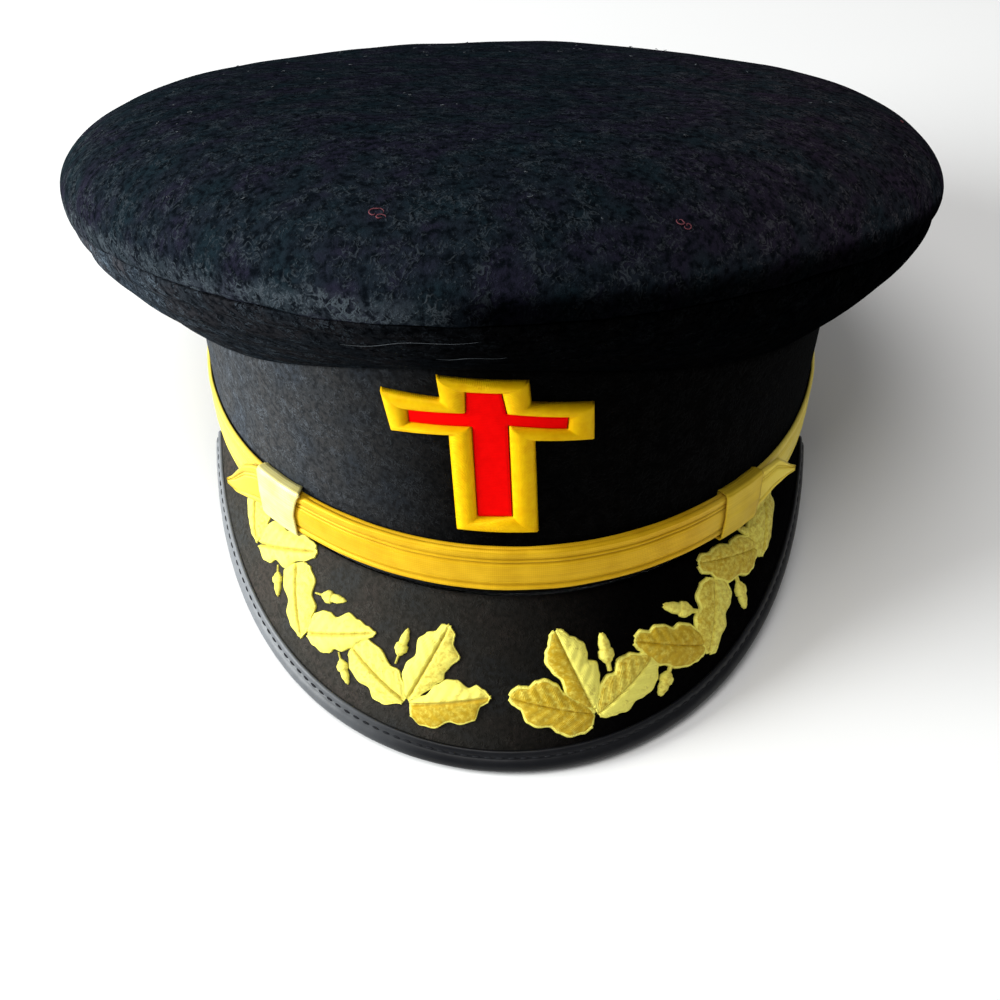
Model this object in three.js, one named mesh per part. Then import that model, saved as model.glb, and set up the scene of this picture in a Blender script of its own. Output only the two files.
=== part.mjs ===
// A peaked fatigue cap of black wool, with a gold strap, a red and gold cross and gold oak leaves.
// Units are millimetres and +Z is up. The visor points to -Y and +X is the viewer's right.
// The cap is first drawn square to its head band, whose lower rim lies in the plane z = 0,
// and the finished pieces are then tilted back until the visor and the rear rim touch the floor.
// Angles around the cap are degrees from the front, positive towards +X.
import * as THREE from "three";

// Head band: half width and half length of its outer face at the rim, for a 56 cm head
const BAND_HALF_WIDTH = 86.4;
const BAND_HALF_LENGTH = 96.4;
const BAND_FLARE_X = 0.0725;
const BAND_FLARE_Y = 0.0175;
const BAND_SQUARE = 0.0085;
const BAND_WALL = 2.4;

// Seam between band and crown: low round the back, rising to the front
const SEAM_LOW = 34;
const SEAM_RISE = 35;
const SEAM_POWER = 4;
const SEAM_RIGHT = 7.6;

// Crown: a domed oval panel, raised at the front and turned a little. It is widest at its rim,
// curls under it as far as a ridge, and turns tightly there into the side of the crown.
const CROWN_HALF_WIDTH = 116.4;
const CROWN_HALF_LENGTH = 132.5;
const CROWN_SQUARE = 0.027;
const CROWN_RISE = 24.6;
const CROWN_POWER = 4.5;
const CROWN_CURL = 12;
const CROWN_RIDGE = 21;
const RIDGE_RADIUS = 3;
const CROWN_WALL = 1.6;
const CROWN_CENTRE = [-2.4, -9.1, 78.0];
const CROWN_TILT = 14.1;
const CROWN_TURN = -5.5;
const CROWN_LEAN = -1.9;
const PANEL_END = 58;
const SIDE_START = 64;
const SIDE_BULGE = 4.0;

// Visor: depth down its slope, slope below the band plane at the middle and at the ends
const VISOR_END = 78;
const VISOR_DEPTH = 43.9;
const VISOR_END_DEPTH = 6;
const VISOR_DEPTH_POWER = 1.12;
const VISOR_SLOPE = 56;
const VISOR_END_SLOPE = 76;
const VISOR_WALL = 2.2;
const VISOR_BULGE = 1.5;

// Strap: half-inch gold lace. The long strap runs from button to button, and the front strap
// lies over it between the slides, with its two pointed ends standing out past them.
const STRAP_HEIGHT = 13.2;
const STRAP_THICK = 1;
const STRAP_BASE = 4.2;
const STRAP_RISE = 10;
const STRAP_END = 111;
const UNDER_LAYER = 1.2;
const OVER_LAYER = 2.5;
const SIDE_LAYER = 0.7;
const SLIDE_ANGLE = 43.5;
const SLIDE_HALF = 4.6;
const BUTTON_ANGLE = 106;
const BUTTON_RADIUS = 6.4;

// Gap kept between neighbouring pieces
const GAP = 0.3;

// Number of facets round the crown and band, along the visor and along each strap layer
const ROUND = 72;
const VISOR_STEPS = 46;
const STRAP_STEPS = 96;

const DEG = Math.PI / 180;

// Ends of the front strap: run straight past the slide, lower and upper edge at that run
const END_START = 48.3;
const END_FLARE = 18;
const STRAP_ENDS = {
  left: [
    { run: 3.0, low: 4.4, high: 17.2 },
    { run: 6.4, low: 4.5, high: 15.9 },
    { run: 10.3, low: 5.0, high: 11.4 },
    { run: 12.9, low: 7.6, high: 8.4 },
  ],
  right: [
    { run: 3.0, low: 6.4, high: 18.4 },
    { run: 6.2, low: 9.6, high: 19.6 },
    { run: 9.6, low: 11.9, high: 16.9 },
    { run: 12.6, low: 13.6, high: 14.4 },
  ],
};

// Oak leaves of the two branches: stem and tip as angle and reach down the visor, then the half
// width above and below the line between them, at shares of the way from stem to tip
const LEAVES = {
  left_1: {
    stem: [13.6, 30.3],
    tip: [2.4, 25.5],
    upper: [
      [0, 1.2], [0.2, 2.4], [0.37, 5.1], [0.5, 6.2], [0.62, 5.8], [0.77, 3.3], [0.86, 3.8],
      [0.94, 2.4], [1, 0.5],
    ],
    lower: [
      [0, 3.2], [0.12, 5.6], [0.28, 6.5], [0.46, 5.1], [0.6, 6.1], [0.76, 5.5], [0.87, 2],
      [0.95, 1.5], [1, 0.4],
    ],
  },
  left_2: {
    stem: [14, 29.1],
    tip: [9.3, 8.1],
    keep: [0.16, 0.96],
    upper: [
      [0, 0.8], [0.09, 2.4], [0.25, 4.9], [0.36, 5.3], [0.49, 4.3], [0.67, 5.9], [0.78, 4.8],
      [0.88, 2.6], [0.96, 2.3], [1, 0.5],
    ],
    lower: [
      [0, 0.8], [0.13, 2.5], [0.33, 4.4], [0.42, 5.5], [0.5, 4.9], [0.58, 5.3], [0.73, 6.6],
      [0.85, 3.2], [0.94, 2.7], [1, 0.5],
    ],
  },
  left_3: {
    stem: [14.4, 29.6],
    tip: [24.2, 20],
    keep: [0.06, 0.88],
    upper: [
      [0, 1.4], [0.2, 4.9], [0.32, 5.6], [0.46, 4.3], [0.62, 5.3], [0.8, 4.8], [0.96, 2.6],
      [1, 0.5],
    ],
    lower: [
      [0, 1], [0.18, 4], [0.31, 5.4], [0.43, 4.7], [0.66, 5.9], [0.88, 5.2], [0.97, 2.9],
      [1, 0.5],
    ],
  },
  left_4: {
    stem: [32.7, 22.3],
    tip: [20.9, 14.4],
    keep: [0.06, 0.92],
    upper: [
      [0, 1.2], [0.05, 3.2], [0.13, 5.7], [0.26, 6.4], [0.36, 6], [0.46, 4.6], [0.64, 5.8],
      [0.78, 3.8], [0.9, 2], [1, 0.4],
    ],
    lower: [
      [0, 1], [0.1, 3.2], [0.24, 5], [0.34, 5], [0.42, 3.9], [0.51, 4.6], [0.66, 3.6],
      [0.84, 1.8], [0.95, 1.2], [1, 0.4],
    ],
  },
  left_5: {
    stem: [39.5, 6.8],
    tip: [33.5, 24.2],
    upper: [
      [0, 3], [0.09, 5.3], [0.28, 6.8], [0.46, 5.3], [0.62, 6.4], [0.77, 4.5], [0.91, 2.6],
      [1, 0.5],
    ],
    lower: [
      [0, 3.4], [0.1, 4.9], [0.28, 5.1], [0.49, 3.5], [0.64, 4.5], [0.8, 3.6], [0.97, 1.3],
      [1, 0.4],
    ],
  },
  left_6: {
    stem: [49.5, 9.6],
    tip: [36.3, 1.1],
    upper: [
      [0, 1], [0.11, 5.7], [0.22, 7], [0.35, 6.6], [0.5, 4.9], [0.63, 4.9], [0.8, 3.6],
      [0.92, 2], [1, 0.5],
    ],
    lower: [
      [0, 1], [0.15, 4.2], [0.26, 4.6], [0.35, 3.5], [0.52, 5.3], [0.72, 3], [0.82, 2.9],
      [0.97, 1.9], [1, 0.5],
    ],
  },
  left_7: {
    stem: [54.6, 0.9],
    tip: [50.1, 9.8],
    upper: [
      [0, 4], [0.23, 5.8], [0.5, 6.2], [0.64, 5], [0.88, 3], [1, 0.4],
    ],
    lower: [
      [0, 4.6], [0.3, 4], [0.5, 3.3], [0.7, 2.6], [1, 0.4],
    ],
  },
  right_1: {
    stem: [11.8, 31.6],
    tip: [0.2, 25.4],
    upper: [
      [0, 1], [0.21, 2.8], [0.4, 4.2], [0.52, 6.2], [0.64, 6.8], [0.74, 5.8], [0.81, 3.8],
      [0.92, 3.4], [0.98, 2.2], [1, 0.6],
    ],
    lower: [
      [0, 3.5], [0.09, 5.3], [0.24, 6.6], [0.36, 6], [0.47, 4.8], [0.62, 5.6], [0.72, 5],
      [0.84, 2], [0.93, 1.4], [1, 0.4],
    ],
  },
  right_2: {
    stem: [11.7, 30.2],
    tip: [7.3, 8.8],
    keep: [0.16, 0.96],
    upper: [
      [0, 0.8], [0.09, 2.1], [0.23, 4.3], [0.34, 5.5], [0.45, 6.2], [0.53, 4.3], [0.62, 5.2],
      [0.71, 5.5], [0.8, 4.3], [0.88, 2.6], [0.96, 1.9], [1, 0.4],
    ],
    lower: [
      [0, 0.8], [0.13, 2.5], [0.28, 4.4], [0.46, 3.7], [0.6, 5], [0.72, 5.6], [0.81, 4.7],
      [0.88, 3], [0.97, 1.8], [1, 0.4],
    ],
  },
  right_3: {
    stem: [12.3, 31.8],
    tip: [22.2, 20.3],
    keep: [0.06, 0.84],
    upper: [
      [0, 0.8], [0.07, 2.2], [0.18, 3.4], [0.3, 4.8], [0.42, 4.3], [0.57, 5.4], [0.67, 5.9],
      [0.8, 5.1], [0.92, 3], [1, 0.5],
    ],
    lower: [
      [0, 1.2], [0.12, 3.3], [0.26, 5.5], [0.38, 6], [0.47, 5], [0.62, 6.9], [0.76, 5.8],
      [0.88, 3.2], [0.96, 1.2], [1, 0.4],
    ],
  },
  right_4: {
    stem: [31.5, 23.8],
    tip: [19.5, 15.2],
    keep: [0.06, 0.9],
    upper: [
      [0, 0.8], [0.05, 2.1], [0.14, 4], [0.28, 5.6], [0.4, 5.7], [0.5, 4.3], [0.62, 4.9],
      [0.74, 4.6], [0.82, 2.8], [0.93, 2.9], [1, 1],
    ],
    lower: [
      [0, 0.8], [0.06, 2.9], [0.14, 4.2], [0.26, 5.4], [0.42, 5.9], [0.56, 5.2], [0.64, 5.5],
      [0.78, 3.8], [0.91, 2.1], [1, 0.8],
    ],
  },
  right_5: {
    stem: [37, 8.4],
    tip: [31.5, 26.1],
    keep: [0.06, 0.74],
    upper: [
      [0, 2.5], [0.11, 4.8], [0.27, 5.9], [0.42, 4.5], [0.56, 5.8], [0.66, 5.5], [0.81, 3.9],
      [0.94, 1.8], [1, 0.5],
    ],
    lower: [
      [0, 3], [0.05, 5], [0.18, 6.4], [0.3, 6], [0.46, 4.3], [0.6, 4.9], [0.78, 3.3], [0.9, 2.8],
      [0.97, 2.4], [1, 0.6],
    ],
  },
  right_6: {
    stem: [48.8, 8.7],
    tip: [34.9, 2.6],
    upper: [
      [0, 1], [0.06, 2.9], [0.17, 4.1], [0.31, 4.7], [0.41, 4.2], [0.48, 3.1], [0.62, 3.7],
      [0.72, 3.1], [0.82, 2], [0.93, 2.2], [1, 0.6],
    ],
    lower: [
      [0, 0.8], [0.07, 2.6], [0.17, 5.1], [0.27, 6.1], [0.4, 5.4], [0.58, 6.6], [0.74, 5.2],
      [0.84, 3.1], [0.95, 2.7], [1, 0.8],
    ],
  },
  right_7: {
    stem: [54.4, 0.9],
    tip: [48.9, 11.6],
    keep: [0.06, 0.68],
    upper: [
      [0, 3.2], [0.18, 5.2], [0.44, 6.8], [0.66, 6.8], [0.8, 4.6], [0.93, 2.4], [1, 0.4],
    ],
    lower: [
      [0, 5.2], [0.26, 4], [0.55, 3.7], [0.75, 2.7], [1, 0.5],
    ],
  },
};

// Acorns of the two branches: stem end and nut end as angle and reach down the visor
const ACORNS = {
  left_1: { stem: [16.7, 20.6], tip: [15.8, 10.8] },
  left_2: { stem: [26.2, 22.9], tip: [23.3, 30.2] },
  left_3: { stem: [33.6, 11.2], tip: [27.4, 9.4] },
  left_4: { stem: [43.3, 10.6], tip: [40.8, 18.2] },
  right_1: { stem: [14.9, 21.2], tip: [14.6, 11.2] },
  right_2: { stem: [24.6, 24.8], tip: [21.8, 31.4] },
  right_3: { stem: [32.1, 14.5], tip: [26, 9] },
  right_4: { stem: [41.8, 11.3], tip: [41.5, 20.9] },
};

// Places along a leaf where its outline is read, the share of its width that the solid keeps, and
// the stretch of its length that it keeps where no other is given, so that neighbours stay apart
const LEAF_PLACES = [0, 0.07, 0.16, 0.27, 0.38, 0.48, 0.6, 0.7, 0.8, 0.9, 1];
const LEAF_TRIM = 0.78;
const LEAF_KEEP = [0.06, 0.96];
const LEAF_HALF = 5.5;

// Width of an acorn, and its outline: stalk, cup and pointed nut
const ACORN_WIDTH = 3.4;
const ACORN_SHAPE = [
  [0.0, 0.2],
  [0.34, 0.22],
  [0.42, 0.92],
  [0.58, 1.0],
  [0.64, 0.78],
  [0.86, 0.6],
  [1.0, 0.14],
];

// Badge outline as x and height on the band, clockwise from the top left corner
const BORDER_OUTLINE = [
  [-17.5, 66.6],
  [4.2, 66.6],
  [5.0, 60.6],
  [19.8, 59.2],
  [20.2, 48.8],
  [6.0, 49.8],
  [7.3, 21.8],
  [-13.1, 22.0],
  [-14.7, 50.6],
  [-28.6, 49.0],
  [-31.0, 60.2],
  [-16.6, 60.4],
];
const CROSS_OUTLINE = [
  [-10.2, 63.2],
  [-2.2, 63.4],
  [-1.0, 57.6],
  [13.4, 56.0],
  [13.2, 52.8],
  [-0.6, 54.4],
  [0.6, 27.2],
  [-7.6, 26.8],
  [-8.8, 53.6],
  [-23.8, 52.6],
  [-23.9, 55.8],
  [-10.2, 57.2],
];

const BADGE_LIFT = 0.55;
const CROSS_TOP = 1.3;

const WOOL = { color: 0x15161b, roughness: 0.95, metalness: 0.0 };
const BAND_CLOTH = { color: 0x1b1b1e, roughness: 0.95, metalness: 0.0 };
const LEATHER = { color: 0x0c0d0f, roughness: 0.35, metalness: 0.0 };
const GOLD_LACE = { color: 0xd9a530, roughness: 0.45, metalness: 0.5 };
const GOLD_THREAD = { color: 0xe6c24a, roughness: 0.5, metalness: 0.45 };
const GILT = { color: 0xd2a340, roughness: 0.3, metalness: 0.9 };
const RED_THREAD = { color: 0xc9131b, roughness: 0.8, metalness: 0.0 };

const vec = (x, y, z) => new THREE.Vector3(x, y, z);

// Point on the outer face of the band, moved outwards by off
function bandPoint(angle, z, off) {
  const a = angle * DEG;
  const square = 1 - BAND_SQUARE * (1 - Math.cos(4 * a));
  const halfWidth = (BAND_HALF_WIDTH + BAND_FLARE_X * z) * square + off;
  const halfLength = (BAND_HALF_LENGTH + BAND_FLARE_Y * z) * square + off;
  return vec(halfWidth * Math.sin(a), -halfLength * Math.cos(a), z);
}

// Level outward direction of the band at an angle
function bandNormal(angle) {
  const before = bandPoint(angle - 0.5, 0, 0);
  const after = bandPoint(angle + 0.5, 0, 0);
  return vec(after.y - before.y, before.x - after.x, 0).normalize();
}

// Height of the seam at an angle
function seamHeight(angle) {
  const share = (1 + Math.cos(angle * DEG)) / 2;
  const raised = SEAM_RIGHT * Math.max(Math.sin(angle * DEG), 0) ** 3;
  return SEAM_LOW + SEAM_RISE * share ** SEAM_POWER + raised;
}

// Turns a point drawn in the level crown into its raised, turned and leaning place
function placeCrown(x, y, h) {
  const tilt = CROWN_TILT * DEG;
  const turn = CROWN_TURN * DEG;
  const lean = CROWN_LEAN * DEG;
  const yTilted = y * Math.cos(tilt) + h * Math.sin(tilt) + CROWN_CENTRE[1];
  const zTilted = -y * Math.sin(tilt) + h * Math.cos(tilt);
  const xTurned = x * Math.cos(turn) - yTilted * Math.sin(turn);
  const yTurned = x * Math.sin(turn) + yTilted * Math.cos(turn);
  return vec(
    xTurned * Math.cos(lean) + zTilted * Math.sin(lean) + CROWN_CENTRE[0],
    yTurned,
    -xTurned * Math.sin(lean) + zTilted * Math.cos(lean) + CROWN_CENTRE[2],
  );
}

// Widest line of the level crown
function rimLine(angle) {
  const a = angle * DEG;
  const square = 1 - CROWN_SQUARE * (1 - Math.cos(4 * a));
  return [CROWN_HALF_WIDTH * square * Math.sin(a), -CROWN_HALF_LENGTH * square * Math.cos(a)];
}

// Point on the domed panel, bend 0 at its middle and 90 at the rim, moved outwards by off
function domePoint(angle, bend, off) {
  const [x, y] = rimLine(angle);
  const b = bend * DEG;
  const share = Math.sin(b) ** (2 / CROWN_POWER);
  const reach = Math.hypot(x, y);
  const level = (CROWN_POWER * share ** (CROWN_POWER - 1)) / reach;
  const upright = (2 * Math.cos(b)) / CROWN_RISE;
  const length = Math.hypot(level, upright);
  const out = share + (off * level) / length / reach;
  return placeCrown(x * out, y * out, CROWN_RISE * Math.cos(b) + (off * upright) / length);
}

// Point under the rim where the cloth has turned by under degrees, moved outwards by off
function underPoint(angle, under, off) {
  const [x, y] = rimLine(angle);
  const before = rimLine(angle - 0.5);
  const after = rimLine(angle + 0.5);
  const out = vec(after[1] - before[1], before[0] - after[0], 0).normalize();
  const curl = Math.min(under, CROWN_RIDGE) * DEG;
  const turned = under * DEG;
  const tight = RIDGE_RADIUS * (Math.cos(curl) - Math.cos(turned));
  const inset = CROWN_CURL * (1 - Math.cos(curl)) + tight - off * Math.cos(turned);
  const drop = CROWN_CURL * Math.sin(curl) + RIDGE_RADIUS * (Math.sin(turned) - Math.sin(curl));
  return placeCrown(x - out.x * inset, y - out.y * inset, -drop - off * Math.sin(turned));
}

// Depth of the visor down its slope
function visorDepth(angle) {
  const share = Math.min(Math.abs(angle) / VISOR_END, 1);
  const swell = Math.cos((share * Math.PI) / 2) ** VISOR_DEPTH_POWER;
  return VISOR_END_DEPTH + (VISOR_DEPTH - VISOR_END_DEPTH) * swell;
}

// Point on the upper face of the visor, reach down its slope, raised off it by lift
function visorPoint(angle, reach, lift) {
  const end = Math.abs(angle) / VISOR_END;
  const slope = (VISOR_SLOPE + (VISOR_END_SLOPE - VISOR_SLOPE) * end * end) * DEG;
  const depth = visorDepth(angle);
  const share = Math.min(Math.max(reach / depth, 0), 1);
  const bulge = VISOR_BULGE * (depth / VISOR_DEPTH) * Math.sin(Math.PI * share);
  const out = bandNormal(angle);
  const base = bandPoint(angle, 0, GAP);
  const along = reach * Math.cos(slope) + (lift + bulge) * Math.sin(slope);
  const down = -reach * Math.sin(slope) + (lift + bulge) * Math.cos(slope);
  return vec(base.x + out.x * along, base.y + out.y * along, down - GAP);
}

// Lower edge of the strap: level over the visor, rising to the side buttons
function strapBase(angle) {
  const share = Math.max(Math.abs(angle) - 50, 0) / (BUTTON_ANGLE - 50);
  return STRAP_BASE + STRAP_RISE * share * share;
}

// Distance of a strap layer from the band, which it nears between the slide and the button
function strapOff(angle, layer) {
  const share = THREE.MathUtils.smoothstep(Math.abs(angle), SLIDE_ANGLE + SLIDE_HALF, 72);
  return layer + (SIDE_LAYER - layer) * share;
}

// A closed mesh from points and triangles
function solid(name, points, faces, look) {
  const geometry = new THREE.BufferGeometry();
  const flat = points.flatMap((p) => [p.x, p.y, p.z]);
  geometry.setAttribute("position", new THREE.Float32BufferAttribute(flat, 3));
  geometry.setIndex(faces.flat());
  geometry.computeVertexNormals();
  const mesh = new THREE.Mesh(geometry, new THREE.MeshStandardMaterial(look));
  mesh.name = name;
  return mesh;
}

// Turns the faces round when they enclose a negative volume
function facedOut(points, faces) {
  let volume = 0;
  for (const [i, j, k] of faces) {
    volume += points[i].dot(points[j].clone().cross(points[k]));
  }
  return volume < 0 ? faces.map(([i, j, k]) => [i, k, j]) : faces;
}

// Joins rings of points in turn, and the last ring to the first
function closedRings(name, rings, look) {
  const cols = rings[0].length;
  const points = rings.flat();
  const faces = [];
  for (let r = 0; r < rings.length; r += 1) {
    const next = (r + 1) % rings.length;
    for (let c = 0; c < cols; c += 1) {
      const d = (c + 1) % cols;
      faces.push([r * cols + c, next * cols + c, next * cols + d]);
      faces.push([r * cols + c, next * cols + d, r * cols + d]);
    }
  }
  return solid(name, points, facedOut(points, faces), look);
}

// Rod: closed sections joined one after the other, with both ends closed by a fan
function rod(name, sections, look) {
  const size = sections[0].length;
  const points = sections.flat();
  const faces = [];
  for (let s = 0; s < sections.length - 1; s += 1) {
    for (let c = 0; c < size; c += 1) {
      const d = (c + 1) % size;
      faces.push([s * size + c, (s + 1) * size + c, (s + 1) * size + d]);
      faces.push([s * size + c, (s + 1) * size + d, s * size + d]);
    }
  }
  const last = (sections.length - 1) * size;
  for (const [i, j, k] of capFaces(sections[0])) {
    faces.push([i, j, k]);
  }
  for (const [i, j, k] of capFaces(sections[sections.length - 1])) {
    faces.push([last + i, last + k, last + j]);
  }
  return solid(name, points, facedOut(points, faces), look);
}

// Triangles over a closed flat section, each running the same way round as its points
function capFaces(section) {
  const middle = section.reduce((sum, p) => sum.add(p), vec(0, 0, 0)).divideScalar(section.length);
  const turn = vec(0, 0, 0);
  section.forEach((p, i) => {
    const next = section[(i + 1) % section.length];
    turn.add(p.clone().sub(middle).cross(next.clone().sub(middle)));
  });
  turn.normalize();
  const side = section[0].clone().sub(middle).normalize();
  const up = turn.clone().cross(side);
  const flat = section.map((p) => {
    const from = p.clone().sub(middle);
    return new THREE.Vector2(from.dot(side), from.dot(up));
  });
  return THREE.ShapeUtils.triangulateShape(flat, []).map(([i, j, k]) => {
    const runsOn = flat[j].clone().sub(flat[i]).cross(flat[k].clone().sub(flat[i])) > 0;
    return runsOn ? [i, j, k] : [i, k, j];
  });
}

// Angles from first to last in equal steps
function steps(first, last, count) {
  return Array.from({ length: count + 1 }, (_, i) => first + ((last - first) * i) / count);
}

const roundAngles = Array.from({ length: ROUND }, (_, i) => (i * 360) / ROUND);

// Top panel: a dome that curls under its rim and turns in at its seam
function crownTop() {
  const bends = [8, 22, 38, 54, 68, 80, 90];
  const unders = [CROWN_RIDGE, PANEL_END];
  const rings = (off) => [
    ...bends.map((bend) => roundAngles.map((angle) => domePoint(angle, bend, off))),
    ...unders.map((under) => roundAngles.map((angle) => underPoint(angle, under, off))),
  ];
  const under = rings(-CROWN_WALL).reverse();
  const walls = [...rings(0), ...under];
  const points = [...walls.flat(), domePoint(0, 0, 0), domePoint(0, 0, -CROWN_WALL)];
  const faces = [];
  for (let r = 0; r < walls.length - 1; r += 1) {
    for (let c = 0; c < ROUND; c += 1) {
      const d = (c + 1) % ROUND;
      faces.push([r * ROUND + c, (r + 1) * ROUND + c, (r + 1) * ROUND + d]);
      faces.push([r * ROUND + c, (r + 1) * ROUND + d, r * ROUND + d]);
    }
  }
  const last = (walls.length - 1) * ROUND;
  const middle = walls.length * ROUND;
  for (let c = 0; c < ROUND; c += 1) {
    const d = (c + 1) % ROUND;
    faces.push([middle, c, d]);
    faces.push([middle + 1, last + d, last + c]);
  }
  return solid("crown_top", points, facedOut(points, faces), WOOL);
}

// Crown side: from the seam below the ridge, swelling a little, in to the top of the band
function crownSide() {
  const slanted = (share, off) =>
    roundAngles.map((angle) => {
      const seam = bandPoint(angle, seamHeight(angle), 0);
      const start = underPoint(angle, SIDE_START, 0).add(vec(0, 0, -GAP));
      const swell = SIDE_BULGE * Math.sin(Math.PI * share);
      const outwards = bandNormal(angle).multiplyScalar(0.6).add(vec(0, 0, -0.8));
      return start.lerp(seam, share).addScaledVector(bandNormal(angle), swell).addScaledVector(outwards, off);
    });
  const rings = (off) => [
    ...[0, 0.2, 0.4, 0.6, 0.8].map((share) => slanted(share, off)),
    roundAngles.map((angle) => bandPoint(angle, seamHeight(angle), off)),
  ];
  return closedRings("crown_side", [...rings(0), ...rings(-CROWN_WALL).reverse()], WOOL);
}

// Head band: a plain upright wall that ends just below the seam
function band() {
  const ring = (share, off) =>
    roundAngles.map((angle) => bandPoint(angle, (seamHeight(angle) - GAP) * share, off));
  const outer = [1, 0.5, 0].map((share) => ring(share, 0));
  const inner = [0, 0.5, 1].map((share) => ring(share, -BAND_WALL));
  return closedRings("band", [...outer, ...inner], BAND_CLOTH);
}

// Visor: one curved cloth-covered plate, thin at its ends
function visor() {
  const shares = [0, 0.25, 0.5, 0.75, 1];
  const sections = steps(-VISOR_END, VISOR_END, VISOR_STEPS).map((angle) => {
    const depth = visorDepth(angle);
    const above = shares.map((share) => visorPoint(angle, depth * share, 0));
    const below = [...shares].reverse().map((share) => visorPoint(angle, depth * share, -VISOR_WALL));
    return [...above, ...below];
  });
  return rod("visor", sections, WOOL);
}

// Binding: a folded leather strip that wraps the outer edge of the visor
function visorBinding() {
  const fold = [
    [-4.2, GAP],
    [-4.2, 0.85],
    [-3.5, 1.2],
    [0.0, 1.2],
    [1.0, 0.4],
    [1.3, -1.1],
    [1.0, -2.6],
    [0.0, -3.4],
    [-3.5, -3.4],
    [-4.2, -3.05],
    [-4.2, -VISOR_WALL - GAP],
    [GAP, -VISOR_WALL - GAP],
    [GAP, GAP],
  ];
  const sections = steps(-VISOR_END, VISOR_END, VISOR_STEPS).map((angle) => {
    const depth = visorDepth(angle);
    return fold.map(([past, lift]) => visorPoint(angle, depth + past, lift));
  });
  return rod("visor_binding", sections, LEATHER);
}

// Section of the lace: share of its height, and thickness, with a raised rib along both edges
const LACE_SECTION = [
  [0.0, 0.0],
  [0.0, 0.7],
  [0.09, 1.0],
  [0.17, 0.75],
  [0.3, 0.95],
  [0.6, 0.95],
  [0.74, 0.7],
  [0.83, 0.95],
  [0.93, 1.0],
  [1.0, 0.7],
  [1.0, 0.0],
];

// Section of a strap layer where it lies on the band
function laceSection(angle, layer) {
  return LACE_SECTION.map(([share, thick]) => {
    const foot = bandPoint(angle, strapBase(angle) + STRAP_HEIGHT * share, 0);
    return foot.addScaledVector(bandNormal(angle), strapOff(angle, layer) + thick * STRAP_THICK);
  });
}

// Sections of one end of the front strap, from the slide to its point
function strapEnd(word, side) {
  const out = bandNormal(END_START * side);
  const along = vec(-out.y * side, out.x * side, 0);
  const flare = END_FLARE * DEG;
  const run = along.clone().multiplyScalar(Math.cos(flare)).addScaledVector(out, Math.sin(flare));
  const face = out.clone().multiplyScalar(Math.cos(flare)).addScaledVector(along, -Math.sin(flare));
  return STRAP_ENDS[word].map((row) =>
    LACE_SECTION.map(([share, thick]) => {
      const z = row.low + (row.high - row.low) * share;
      const foot = bandPoint(END_START * side, z, 0).addScaledVector(out, OVER_LAYER);
      return foot.addScaledVector(run, row.run).addScaledVector(face, thick * STRAP_THICK);
    }),
  );
}

// Long strap: one length of lace from button to button
function strapLong() {
  const angles = steps(-STRAP_END, STRAP_END, STRAP_STEPS);
  return rod("strap_long", angles.map((angle) => laceSection(angle, UNDER_LAYER)), GOLD_LACE);
}

// Front strap: a second length over the first, whose ends stand out past the slides
function strapFront() {
  const angles = steps(-END_START, END_START, STRAP_STEPS / 2);
  const sections = [
    ...strapEnd("left", -1).reverse(),
    ...angles.map((angle) => laceSection(angle, OVER_LAYER)),
    ...strapEnd("right", 1),
  ];
  return rod("strap_front", sections, GOLD_LACE);
}

// Slide: a flat loop of lace round both layers
function slide(name, side) {
  const low = STRAP_BASE - GAP;
  const high = STRAP_BASE + STRAP_HEIGHT + GAP;
  const near = UNDER_LAYER - GAP;
  const far = OVER_LAYER + STRAP_THICK + GAP;
  const loops = [
    [near - 0.6, low - 0.9],
    [far + 0.8, low - 0.9],
    [far + 0.8, high + 0.9],
    [near - 0.6, high + 0.9],
    [near, low],
    [far, low],
    [far, high],
    [near, high],
  ];
  const angles = steps(SLIDE_ANGLE - SLIDE_HALF, SLIDE_ANGLE + SLIDE_HALF, 4).map((a) => a * side);
  const points = angles.flatMap((angle) =>
    loops.map(([off, z]) => bandPoint(angle, z, 0).addScaledVector(bandNormal(angle), off)),
  );
  const faces = [];
  const quad = (a, b, c, d) => faces.push([a, b, c], [a, c, d]);
  for (let s = 0; s < angles.length - 1; s += 1) {
    for (let c = 0; c < 4; c += 1) {
      const d = (c + 1) % 4;
      quad(s * 8 + c, s * 8 + d, s * 8 + 8 + d, s * 8 + 8 + c);
      quad(s * 8 + 4 + c, s * 8 + 12 + c, s * 8 + 12 + d, s * 8 + 4 + d);
    }
  }
  const end = (angles.length - 1) * 8;
  for (let c = 0; c < 4; c += 1) {
    const d = (c + 1) % 4;
    quad(c, 4 + c, 4 + d, d);
    quad(end + c, end + d, end + 4 + d, end + 4 + c);
  }
  return solid(name, points, facedOut(points, faces), GOLD_LACE);
}

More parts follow.
